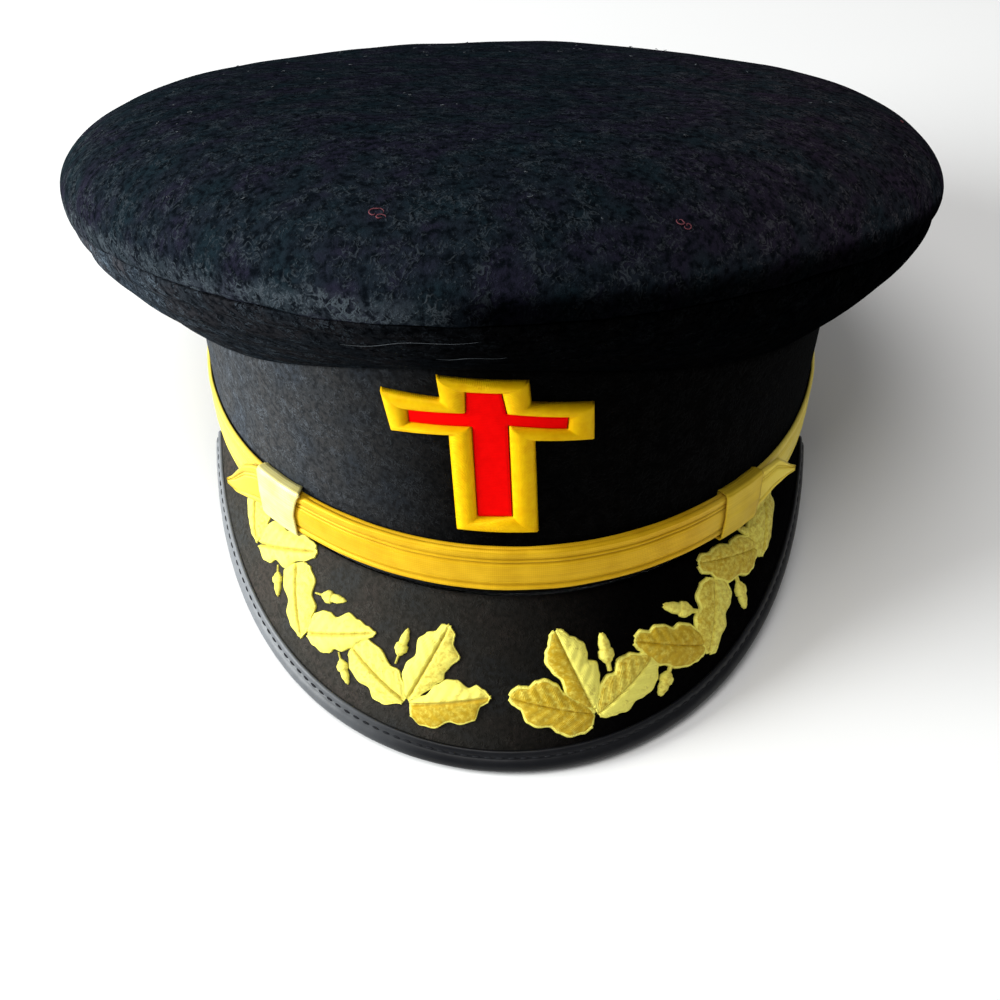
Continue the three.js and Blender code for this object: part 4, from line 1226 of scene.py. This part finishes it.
def slide(name, side, node):
    off_table = [(place, off) for place, off, _ in SLIDE_LOOP]
    height_table = [(place, z) for place, _, z in SLIDE_LOOP]

    def place(across, along):
        flare = SLIDE_FLARE[side] * (1 - across) ** 2 * bell(along - 0.47, 0.09)
        angle = side * (mix(SLIDE_ANGLE - SLIDE_HALF, SLIDE_ANGLE + SLIDE_HALF, across) - flare)
        hem = 0.22 * (bell(across, 1 / 16) + bell(1 - across, 1 / 16))
        off = reading(off_table, along) - hem
        off += 0.18 * noise.noise(Vector((across * 3, along * 9, side * 7.0)))
        return band_point(angle, reading(height_table, along)) + band_normal(angle) * off

    loop = flat_pattern(26, 72, 14.8, 40)
    middle = band_point(side * SLIDE_ANGLE, STRAP_BASE + STRAP_HEIGHT / 2)
    inside = settled(middle + band_normal(side * SLIDE_ANGLE) * 2.3)
    cloth(name, loop, place, slide_laces[side], "gold_lace", node, 0.45, inside)


slide("slide_left_lace", -1, "slide_left")
slide("slide_right_lace", 1, "slide_right")

# %% [markdown]
# ## Side buttons
#
# The strap ends under a small gilt button at each side, behind what the photograph shows. A button is
# turned work, so half its outline is drawn once and spun round its axis. Plain gilt brass is bright
# on the crown of the dome and dull in the groove inside the rim.

# %% Gilt brass
def gilt_brass():
    finish = Finish("gilt_brass")
    dulled = finish.grain(1.6, 4.0, 0.7)
    finish.set(
        Base_Color=finish.blend(dulled.between(0.4, 0.7), (0.78, 0.50, 0.16, 1), (0.42, 0.25, 0.07, 1)),
        Metallic=1.0,
        Roughness=0.20 + dulled * 0.22,
    )
    finish.bump(dulled, 0.05, 0.5)
    return finish.material


gilt = gilt_brass()
print("gilt brass")

# %% Buttons
BUTTON_PROFILE = [
    (0.0, 3.5), (1.6, 3.42), (3.2, 3.05), (4.5, 2.35), (5.1, 1.75), (5.35, 1.80), (5.9, 1.75),
    (6.35, 1.25), (6.35, 0.65), (5.8, 0.15), (0.0, 0.0),
]


def button(name, side, node):
    angle = BUTTON_ANGLE * side
    out = band_normal(angle)
    foot = band_point(angle, strap_base(angle) + STRAP_HEIGHT / 2) + out * (SIDE_LAYER + 1.6)
    bm = bmesh.new()
    outline = [bm.verts.new((radius * MM, 0, height * MM)) for radius, height in BUTTON_PROFILE]
    edges = [bm.edges.new(pair) for pair in zip(outline, outline[1:])]
    bmesh.ops.spin(
        bm,
        geom=outline + edges,
        cent=(0, 0, 0),
        axis=(0, 0, 1),
        angle=2 * math.pi,
        steps=40,
        use_merge=True,
    )
    bmesh.ops.remove_doubles(bm, verts=bm.verts, dist=0.000002)
    bmesh.ops.recalc_face_normals(bm, faces=bm.faces)
    turn = (LEANING @ oriented(Vector((0, 0, 1)), out)).to_4x4()
    bmesh.ops.transform(bm, matrix=Matrix.Translation(settled(foot)) @ turn, verts=bm.verts)
    finished(name, bm, gilt, "gilt", [node])


button("button_left_gilt", -1, "button_left")
button("button_right_gilt", 1, "button_right")

# %% [markdown]
# ## Embroidery thread
#
# The cross, the leaves and the acorns are satin stitch: threads laid side by side over a pad, so the
# surface is smooth along a thread and ridged across it. Each piece's pattern runs along its length,
# and the threads cross it, on the leaves at a slant that leads towards the tip on both sides of the
# rib. Ridges of one thread's width give the sheen its direction.

# %% Satin stitch finish
def satin_stitch(name, slant, thread, gloss, tint, deep, bright, tones=None, depth=0.16):
    """Threads across the pattern's length, slanting forward away from its middle line."""
    finish = Finish(name)
    along, across = finish.pattern_places()
    lean = along - across.size() * slant
    uneven = finish.grain(1.2, 3.0, 0.6) * 0.0004
    ridges = (lean + uneven).wave(thread * MM)
    loose = finish.grain(2.4, 3.0, 0.6)
    tone = (ridges * 0.22 + loose * 0.85).between(0.22, 0.85)
    colour = finish.blend(tone, deep, bright)
    if tones:
        # painted highlight: the pale numbers and a speckle blend ochre thread to lemon where it lies across
        # the light
        ochre, lemon = tones
        speckle = finish.grain(1.1, 3.0, 0.65) - 0.5
        pale = (finish.painted("pale") + speckle * 1.7).between(0.0, 1.0)
        colour = finish.blend(pale, ochre, lemon)
        hollow = (loose * 0.5 + 0.5 * finish.grain(0.9, 2.0, 0.6)).between(0.56, 0.66) * 0.35
        # painted shade in the sunken rib, from the groove numbers, and a little between threads; the hollow
        # spots are random tone
        shade = finish.painted("groove") * 0.60 + hollow + (1.0 - ridges) * 0.08
        colour = finish.blend(shade, colour, deep)
    finish.set(
        Base_Color=colour,
        Metallic=0.08,
        Roughness=0.46 - ridges * 0.08,
        Specular_IOR_Level=gloss,
        Specular_Tint=tint,
    )
    finish.bump(ridges * 0.55 + loose * 0.45, depth, 0.8)
    return finish.material


print("satin stitch can be laid")

# %% Three threads
border_thread = satin_stitch(
    "border_thread",
    slant=0.0,
    thread=0.45,
    gloss=0.10,
    tint=(1.0, 0.75, 0.20, 1),
    deep=(0.86, 0.44, 0.001, 1),
    bright=(0.98, 0.62, 0.003, 1),
)
red_thread = satin_stitch(
    "red_thread",
    slant=0.0,
    thread=0.45,
    gloss=0.04,
    tint=(1.0, 0.3, 0.3, 1),
    deep=(0.86, 0.0, 0.0, 1),
    bright=(0.98, 0.001, 0.001, 1),
    depth=0.05,
)
leaf_thread = satin_stitch(
    "leaf_thread",
    slant=0.75,
    thread=0.42,
    gloss=0.25,
    tint=(1.0, 0.86, 0.42, 1),
    deep=(0.28, 0.16, 0.006, 1),
    bright=(0.74, 0.48, 0.030, 1),
    tones=((0.52, 0.335, 0.014, 1), (0.90, 0.83, 0.16, 1)),
)
print("border, red and leaf thread")

# %% [markdown]
# ## Cross
#
# The badge is a Latin cross of red satin stitch inside a thick padded border of yellow stitches. The
# border is twelve straight bars with mitred ends, each a small grid whose cross section is a rounded
# pad. The red field is five patches that share their edges. Both follow the curve of the band. The
# corners are listed as millimetres across the front of the band and up it.

# %% Badge
BORDER_OUTLINE = [
    (-17.5, 66.6), (4.2, 66.6), (5.0, 60.6), (19.8, 59.2), (20.2, 48.8), (6.0, 49.8), (7.3, 21.8),
    (-13.1, 22.0), (-14.7, 50.6), (-28.6, 49.0), (-31.0, 60.2), (-16.6, 60.4),
]
CROSS_OUTLINE = [
    (-10.2, 63.2), (-2.2, 63.4), (-1.0, 57.6), (13.4, 56.0), (13.2, 52.8), (-0.6, 54.4),
    (0.6, 27.2), (-7.6, 26.8), (-8.8, 53.6), (-23.8, 52.6), (-23.9, 55.8), (-10.2, 57.2),
]
BORDER_HEIGHT = 2.5
FIELD_HEIGHT = 1.1


def badge_point(x, z, lift):
    """Point over the front of the band at x, with its height and its lift off the cloth."""
    angle = math.degrees(math.asin(x / (BAND_HALF_WIDTH + BAND_FLARE_X * z)))
    return band_point(angle, z) + band_normal(angle) * lift


def pad_section(share, height):
    """Height of a stuffed bar at that share of its width."""
    across = abs(share * 2 - 1)
    return height * (1 - across ** 2.2) ** 0.5


def border_bar(corner):
    """One bar of the border, between a corner of the badge and the next one."""
    following = (corner + 1) % len(BORDER_OUTLINE)
    outer, next_outer = Vector(BORDER_OUTLINE[corner]), Vector(BORDER_OUTLINE[following])
    inner, next_inner = Vector(CROSS_OUTLINE[corner]), Vector(CROSS_OUTLINE[following])
    length = (next_outer - outer).length
    bar = flat_pattern(max(6, round(length / 0.6)), 14, length, 5.0)
    for vert in bar.verts:
        outside = outer.lerp(next_outer, vert.co.x)
        spot = outside.lerp(inner.lerp(next_inner, vert.co.x), vert.co.y)
        lift = 0.05 + pad_section(vert.co.y, BORDER_HEIGHT)
        vert.co = settled(badge_point(spot.x, spot.y, lift))
    return bar


badge = joined([border_bar(corner) for corner in range(len(BORDER_OUTLINE))], sewn=True)
face_away(badge, CAP_MIDDLE)
border = finished(
    "badge_border_thread", badge, border_thread, "border_thread", ["badge_border"], wall=0.5
)

# %% Red field
FIELD_PATCHES = [
    ((0, 1, 2, 11), 10, 8),
    ((11, 2, 5, 8), 10, 5),
    ((8, 5, 6, 7), 10, 32),
    ((10, 11, 8, 9), 16, 5),
    ((2, 3, 4, 5), 16, 5),
]


def field_patch(corners, across, down):
    """One straight piece of the red field between four corners of the cross."""
    top_left, top_right, low_right, low_left = [Vector(CROSS_OUTLINE[c]) for c in corners]
    patch = flat_pattern(across, down, 1, 1)
    uv = patch.loops.layers.uv.active
    for vert in patch.verts:
        upper = top_left.lerp(top_right, vert.co.x)
        lower = low_left.lerp(low_right, vert.co.x)
        spot = upper.lerp(lower, vert.co.y)
        for loop in vert.link_loops:
            loop[uv].uv = (spot.y * MM, spot.x * MM)
        vert.co = settled(badge_point(spot.x, spot.y, FIELD_HEIGHT))
    return patch


field = joined([field_patch(*row) for row in FIELD_PATCHES], sewn=True)
face_away(field, CAP_MIDDLE)
cross = finished("badge_cross_thread", field, red_thread, "red_thread", ["badge_cross"], wall=0.6)

# %% [markdown]
# ## Oak leaves
#
# Each leaf is embroidered over a pad: two halves of satin stitch that slope down to a sunken rib, with
# faint side veins, inside a thin raised cord that follows the lobes. One grid makes a leaf. Its columns
# run from stem to tip and its rows from edge to edge. A short table gives the half width of each side,
# crest by crest and notch by notch, because no two leaves of the branches were sewn alike. Two more numbers
# say how pale each half is painted: threads that lie across the light get a painted lemon highlight, and
# the others stay ochre. The cord is painted paler in the same way, and the rib darker with painted shade.

# %% Shapes of the leaves
# Each leaf's pale pair is the share of painted lemon highlight on its two halves.
LEAVES = {
    "left_1": {
        "stem": (13.6, 30.3),
        "tip": (2.4, 25.5),
        "upper": [
            (0, 1.2), (0.2, 2.4), (0.37, 5.1), (0.5, 6.2), (0.62, 5.8), (0.77, 3.3), (0.86, 3.8),
            (0.94, 2.4), (1, 0.5),
        ],
        "lower": [
            (0, 3.2), (0.12, 5.6), (0.28, 6.5), (0.46, 5.1), (0.6, 6.1), (0.76, 5.5), (0.87, 2.0),
            (0.95, 1.5), (1, 0.4),
        ],
        "pale": (0.85, 0.2),
    },
    "left_2": {
        "stem": (14.0, 29.1),
        "tip": (9.3, 8.1),
        "upper": [
            (0, 0.8), (0.09, 2.4), (0.25, 4.9), (0.36, 5.3), (0.49, 4.3), (0.67, 5.9), (0.78, 4.8),
            (0.88, 2.6), (0.96, 2.3), (1, 0.5),
        ],
        "lower": [
            (0, 0.8), (0.13, 2.5), (0.33, 4.4), (0.42, 5.5), (0.5, 4.9), (0.58, 5.3), (0.73, 6.6),
            (0.85, 3.2), (0.94, 2.7), (1, 0.5),
        ],
        "pale": (0.95, 0.7),
    },
    "left_3": {
        "stem": (14.4, 29.6),
        "tip": (24.2, 20.0),
        "upper": [
            (0, 1.4), (0.2, 4.9), (0.32, 5.6), (0.46, 4.3), (0.62, 5.3), (0.8, 4.8), (0.96, 2.6),
            (1, 0.5),
        ],
        "lower": [
            (0, 1.0), (0.18, 4.0), (0.31, 5.4), (0.43, 4.7), (0.66, 5.9), (0.88, 5.2), (0.97, 2.9),
            (1, 0.5),
        ],
        "pale": (0.75, 0.85),
    },
    "left_4": {
        "stem": (32.7, 22.3),
        "tip": (20.9, 14.4),
        "upper": [
            (0, 1.2), (0.05, 3.2), (0.13, 5.7), (0.26, 6.4), (0.36, 6.0), (0.46, 4.6), (0.64, 5.8),
            (0.78, 3.8), (0.9, 2.0), (1, 0.4),
        ],
        "lower": [
            (0, 1.0), (0.1, 3.2), (0.24, 5.0), (0.34, 5.0), (0.42, 3.9), (0.51, 4.6), (0.66, 3.6),
            (0.84, 1.8), (0.95, 1.2), (1, 0.4),
        ],
        "pale": (0.95, 0.95),
    },
    "left_5": {
        "stem": (39.5, 6.8),
        "tip": (33.5, 24.2),
        "upper": [
            (0, 3.0), (0.09, 5.3), (0.28, 6.8), (0.46, 5.3), (0.62, 6.4), (0.77, 4.5), (0.91, 2.6),
            (1, 0.5),
        ],
        "lower": [
            (0, 3.4), (0.1, 4.9), (0.28, 5.1), (0.49, 3.5), (0.64, 4.5), (0.8, 3.6), (0.97, 1.3),
            (1, 0.4),
        ],
        "pale": (0.8, 0.9),
    },
    "left_6": {
        "stem": (49.5, 9.6),
        "tip": (36.3, 1.1),
        "upper": [
            (0, 1.0), (0.11, 5.7), (0.22, 7.0), (0.35, 6.6), (0.5, 4.9), (0.63, 4.9), (0.8, 3.6),
            (0.92, 2.0), (1, 0.5),
        ],
        "lower": [
            (0, 1.0), (0.15, 4.2), (0.26, 4.6), (0.35, 3.5), (0.52, 5.3), (0.72, 3.0), (0.82, 2.9),
            (0.97, 1.9), (1, 0.5),
        ],
        "pale": (0.85, 0.95),
    },
    "left_7": {
        "stem": (56.0, -2.6),
        "tip": (50.1, 9.8),
        "upper": [(0, 2.2), (0.2, 4.4), (0.4, 6.2), (0.6, 6.4), (0.73, 5.0), (0.9, 3.0), (1, 0.4)],
        "lower": [(0, 2.4), (0.2, 4.6), (0.45, 4.2), (0.62, 3.4), (0.78, 2.6), (1, 0.4)],
        "pale": (0.7, 0.9),
    },
    "right_1": {
        "stem": (11.8, 31.6),
        "tip": (0.2, 25.4),
        "upper": [
            (0, 1.0), (0.21, 2.8), (0.4, 4.2), (0.52, 6.2), (0.64, 6.8), (0.74, 5.8), (0.81, 3.8),
            (0.92, 3.4), (0.98, 2.2), (1, 0.6),
        ],
        "lower": [
            (0, 3.5), (0.09, 5.3), (0.24, 6.6), (0.36, 6.0), (0.47, 4.8), (0.62, 5.6), (0.72, 5.0),
            (0.84, 2.0), (0.93, 1.4), (1, 0.4),
        ],
        "pale": (0.20, 0.15),
    },
    "right_2": {
        "stem": (11.7, 30.2),
        "tip": (7.3, 8.8),
        "upper": [
            (0, 0.8), (0.09, 2.1), (0.23, 4.3), (0.34, 5.5), (0.45, 6.2), (0.53, 4.3), (0.62, 5.2),
            (0.71, 5.5), (0.8, 4.3), (0.88, 2.6), (0.96, 1.9), (1, 0.4),
        ],
        "lower": [
            (0, 0.8), (0.13, 2.5), (0.28, 4.4), (0.46, 3.7), (0.6, 5.0), (0.72, 5.6), (0.81, 4.7),
            (0.88, 3.0), (0.97, 1.8), (1, 0.4),
        ],
        "pale": (1.00, 0.20),
    },
    "right_3": {
        "stem": (12.3, 31.8),
        "tip": (22.2, 20.3),
        "upper": [
            (0, 0.8), (0.07, 2.2), (0.18, 3.4), (0.3, 4.8), (0.42, 4.3), (0.57, 5.4), (0.67, 5.9),
            (0.8, 5.1), (0.92, 3.0), (1, 0.5),
        ],
        "lower": [
            (0, 1.2), (0.12, 3.3), (0.26, 5.5), (0.38, 6.0), (0.47, 5.0), (0.62, 6.9), (0.76, 5.8),
            (0.88, 3.2), (0.96, 1.2), (1, 0.4),
        ],
        "pale": (1.00, 0.40),
    },
    "right_4": {
        "stem": (31.5, 23.8),
        "tip": (19.5, 15.2),
        "upper": [
            (0, 0.8), (0.05, 2.1), (0.14, 4.0), (0.28, 5.6), (0.4, 5.7), (0.5, 4.3), (0.62, 4.9),
            (0.74, 4.6), (0.82, 2.8), (0.93, 2.9), (1, 1.0),
        ],
        "lower": [
            (0, 0.8), (0.06, 2.9), (0.14, 4.2), (0.26, 5.4), (0.42, 5.9), (0.56, 5.2), (0.64, 5.5),
            (0.78, 3.8), (0.91, 2.1), (1, 0.8),
        ],
        "pale": (0.18, 0.15),
    },
    "right_5": {
        "stem": (37.0, 8.4),
        "tip": (31.5, 26.1),
        "upper": [
            (0, 2.5), (0.11, 4.8), (0.27, 5.9), (0.42, 4.5), (0.56, 5.8), (0.66, 5.5), (0.81, 3.9),
            (0.94, 1.8), (1, 0.5),
        ],
        "lower": [
            (0, 3.0), (0.05, 5.0), (0.18, 6.4), (0.3, 6.0), (0.46, 4.3), (0.6, 4.9), (0.78, 3.3),
            (0.9, 2.8), (0.97, 2.4), (1, 0.6),
        ],
        "pale": (0.45, 0.62),
    },
    "right_6": {
        "stem": (48.8, 8.7),
        "tip": (34.9, 2.6),
        "upper": [
            (0, 1.0), (0.06, 2.9), (0.17, 4.1), (0.31, 4.7), (0.41, 4.2), (0.48, 3.1), (0.62, 3.7),
            (0.72, 3.1), (0.82, 2.0), (0.93, 2.2), (1, 0.6),
        ],
        "lower": [
            (0, 0.8), (0.07, 2.6), (0.17, 5.1), (0.27, 6.1), (0.4, 5.4), (0.58, 6.6), (0.74, 5.2),
            (0.84, 3.1), (0.95, 2.7), (1, 0.8),
        ],
        "pale": (0.40, 0.30),
    },
    "right_7": {
        "stem": (56.4, -3.0),
        "tip": (48.9, 11.6),
        "upper": [
            (0, 2.0), (0.2, 4.2), (0.36, 5.4), (0.57, 6.8), (0.74, 6.8), (0.85, 4.6), (0.95, 2.4),
            (1, 0.4),
        ],
        "lower": [(0, 2.6), (0.18, 5.0), (0.42, 4.2), (0.65, 3.7), (0.8, 2.7), (1, 0.5)],
        "pale": (0.60, 0.55),
    },
}
LEAF_HEIGHT = 1.3
CORD_WIDTH = 0.55
CORD_HEIGHT = 0.60
RIB_WIDTH = 0.42
RIB_DEPTH = 0.8
VEIN_PITCH = 3.4
VEIN_DEPTH = 0.09
print(len(LEAVES), "leaves in the table")

# %% Places on a branch
def side_of(key):
    """-1 for a piece of the left branch and 1 for one of the right branch."""
    return -1 if key.startswith("left") else 1


def branch_line(piece):
    """Millimetres per degree, run and fall of a piece that lies from stem to tip on the visor."""
    (stem_angle, stem_reach), (tip_angle, tip_reach) = piece["stem"], piece["tip"]
    middle = (stem_angle + tip_angle) / 2
    halfway = (stem_reach + tip_reach) / 2
    per_degree = (visor_point(middle + 0.5, halfway) - visor_point(middle - 0.5, halfway)).length
    run = (tip_angle - stem_angle) * per_degree
    return per_degree, run, tip_reach - stem_reach


def foot_point(angle, reach, lift):
    """Point on the visor or, where the reach is less than nothing, on the foot of the band above it."""
    if reach >= 0.6:
        return visor_point(angle, reach, lift)
    return band_point(angle, 0.6 - reach, 0.25 + lift * 0.7)


def on_branch(piece, side, share, sideways, lift):
    """Point of a piece on one half of the visor, sideways from its middle line, in millimetres."""
    per_degree, run, fall = branch_line(piece)
    length = math.hypot(run, fall)
    angle = piece["stem"][0] + (run * share - sideways * fall / length) / per_degree
    reach = piece["stem"][1] + fall * share + sideways * run / length
    return foot_point(angle * side, reach, lift)


print("a leaf on the left is", round(math.hypot(*branch_line(LEAVES["left_1"])[1:]), 1), "mm long")

# %% Leaves
def leaf_lift(share, half, across, length):
    """Height of the leaf over the cloth: padded halves, a sunken rib, faint side veins and a cord."""
    inside = half * (1 - abs(across))
    end = math.sin(math.pi * min(max(share * 0.98 + 0.01, 0), 1)) ** 0.4
    pad = LEAF_HEIGHT * end * (1 - abs(across) ** 3) ** 0.5
    rib = RIB_DEPTH * bell(abs(across) * half, RIB_WIDTH) * (1 - share ** 8)
    slant = share * length - abs(across) * half * 0.9
    vein = VEIN_DEPTH * math.sin(math.pi * 2 * slant / VEIN_PITCH)
    cord = CORD_HEIGHT * math.sqrt(max(1 - ((inside - CORD_WIDTH / 2) / (CORD_WIDTH / 2)) ** 2, 0))
    return max(pad - rib + vein * smooth_step(0.6, 1.6, inside), cord, 0.0)


def leaf(name, shape, side, node):
    _, run, fall = branch_line(shape)
    length = math.hypot(run, fall)
    bm = flat_pattern(76, 56, length, 12.0)
    uv = bm.loops.layers.uv.active
    lemon_highlight_layer = bm.verts.layers.float.new("pale")
    rib_shade_layer = bm.verts.layers.float.new("groove")

    def half_width(share, across):
        return reading(shape["upper"] if across > 0 else shape["lower"], share)

    for face in bm.faces:
        for loop in face.loops:
            share, across = loop.vert.co.x, loop.vert.co.y * 2 - 1
            loop[uv].uv = (share * length * MM, across * half_width(share, across) * MM)
    for vert in bm.verts:
        share, across = vert.co.x, vert.co.y * 2 - 1
        half = half_width(share, across)
        inside = min(half * (1 - abs(across)), share * length, (1 - share) * length)
        # painted highlight: each half's pale share, and paler still on the cord
        tone = mix(shape["pale"][1], shape["pale"][0], smooth_step(-0.04, 0.04, across))
        cord = 1 - smooth_step(CORD_WIDTH * 0.7, CORD_WIDTH * 1.2, inside)
        vert[lemon_highlight_layer] = mix(tone, 1.0, cord * 0.85)
        # painted shade along the sunken rib
        vert[rib_shade_layer] = bell(abs(across) * half, 0.30) * smooth_step(0.5, 1.5, inside)
        lift = 0.03 + leaf_lift(share, half, across, length)
        vert.co = settled(on_branch(shape, side, share, across * half, lift))
    face_away(bm, BELOW_VISOR)
    piece = finished(name, bm, leaf_thread, "leaf_thread", [node], wall=0.45)


for key, shape in LEAVES.items():
    leaf(f"leaf_thread_{key}", shape, side_of(key), f"leaf_{key}")

# %% [markdown]
# ## Acorns
#
# Four acorns hang on each branch, and a sprig of the same thread fills in by each slide. They are
# padded like the leaves but have no rib, so one table of widths, from stem to tip, draws the cup and
# the nut of an acorn, and a shorter one draws a sprig.

# %% Acorns
ACORN_WIDTH = 3.7
# painted highlight: acorns on the left branch are painted paler, facing the light
ACORN_HIGHLIGHT = {-1: 0.75, 1: 0.55}
ACORNS = {
    "left_1": {"stem": (16.7, 20.6), "tip": (15.8, 10.8)},
    "left_2": {"stem": (26.2, 22.9), "tip": (23.3, 30.2)},
    "left_3": {"stem": (33.6, 11.2), "tip": (27.4, 9.4)},
    "left_4": {"stem": (43.3, 10.6), "tip": (40.8, 18.2)},
    "right_1": {"stem": (14.9, 21.2), "tip": (14.6, 11.2)},
    "right_2": {"stem": (24.6, 24.8), "tip": (21.8, 31.4)},
    "right_3": {"stem": (32.1, 14.5), "tip": (26.0, 9.0)},
    "right_4": {"stem": (41.8, 11.3), "tip": (41.5, 20.9)},
}
SPRIGS = {
    "left": {"stem": (45.6, -0.1), "tip": (50.2, 0.6)},
    "right": {"stem": (48.2, 3.6), "tip": (46.2, 0.4)},
}
ACORN_SHAPE = [
    (0.0, 0.14), (0.20, 0.16), (0.30, 0.62), (0.40, 1.0), (0.52, 0.96), (0.58, 0.66),
    (0.72, 0.68), (0.90, 0.40), (1.0, 0.06),
]
SPRIG_SHAPE = [(0.0, 0.2), (0.3, 0.5), (0.6, 0.35), (1.0, 0.05)]


def nut(name, shape, side, outline, nodes=(), paleness=0.6):
    _, run, fall = branch_line(shape)
    length = math.hypot(run, fall)
    bm = flat_pattern(48, 20, length, ACORN_WIDTH)
    lemon_highlight_layer = bm.verts.layers.float.new("pale")
    bm.verts.layers.float.new("groove")
    for vert in bm.verts:
        share, across = vert.co.x, vert.co.y * 2 - 1
        half = ACORN_WIDTH / 2 * reading(outline, share)
        # painted highlight, paler still towards the sides of the nut
        vert[lemon_highlight_layer] = paleness + 0.4 * abs(across)
        lift = 0.03 + (0.30 + 0.60 * half) * math.sqrt(max(1 - across * across, 0))
        vert.co = settled(on_branch(shape, side, share, across * half, lift))
    face_away(bm, BELOW_VISOR)
    piece = finished(name, bm, leaf_thread, "leaf_thread", nodes, wall=0.4)


for key, shape in ACORNS.items():
    side = side_of(key)
    nut(f"acorn_thread_{key}", shape, side, ACORN_SHAPE, [f"acorn_{key}"], ACORN_HIGHLIGHT[side])
for key, shape in SPRIGS.items():
    nut(f"sprig_thread_{key}", shape, side_of(key), SPRIG_SHAPE)

# %% [markdown]
# ## Floor and light
#
# The photograph is lit from two places. A broad light on the left, low and square to the side of the
# cap, gives some of the lemon glints, and painted highlights in the finishes give the rest and the pale
# left end of the band. A weaker light overhead shows the nap of the crown. No lamp stands on the right:
# the wool fades to black there by painted shade in its finish, and the gold still shows by the light
# that the floor and the pale surroundings give. The floor is plain and pale.

# %% Floor
FLOOR_HALF = 6.0

floor_sheet = bmesh.new()
bmesh.ops.create_grid(floor_sheet, x_segments=1, y_segments=1, size=FLOOR_HALF)
floor_mesh = bpy.data.meshes.new("floor")
floor_sheet.to_mesh(floor_mesh)
floor_sheet.free()
floor = bpy.data.objects.new("floor", floor_mesh)
bpy.context.scene.collection.objects.link(floor)
floor_finish = Finish("floor_paint")
floor_finish.set(Base_Color=(0.90, 0.90, 0.90, 1), Roughness=0.9, Specular_IOR_Level=0.05)
floor_mesh.materials.append(floor_finish.material)
print("floor", 2 * FLOOR_HALF, "m wide")

# %% Light
WORLD_LIGHT = 0.27

world = bpy.data.worlds.new("studio")
world.use_nodes = True
background = world.node_tree.nodes["Background"]
background.inputs["Color"].default_value = (1.0, 1.0, 1.0, 1)
background.inputs["Strength"].default_value = WORLD_LIGHT
bpy.context.scene.world = world


def soft_light(name, place, size, power, colour):
    data = bpy.data.lights.new(name, "AREA")
    data.shape = "DISK"
    data.size = size
    data.energy = power
    data.color = colour
    lamp = bpy.data.objects.new(name, data)
    bpy.context.scene.collection.objects.link(lamp)
    lamp.location = place
    lamp.rotation_mode = "QUATERNION"
    lamp.rotation_quaternion = (Vector((0, 0, 0.08)) - Vector(place)).to_track_quat("-Z", "Y")


soft_light("window_light", (-1.62, -0.30, 0.62), 0.9, 52.0, (0.97, 1.0, 1.0))
soft_light("overhead_light", (-0.35, -0.50, 1.65), 1.0, 15.0, (1.0, 0.99, 0.97))
bpy.context.scene.view_settings.view_transform = "Standard"
print("two soft lights and a pale world")
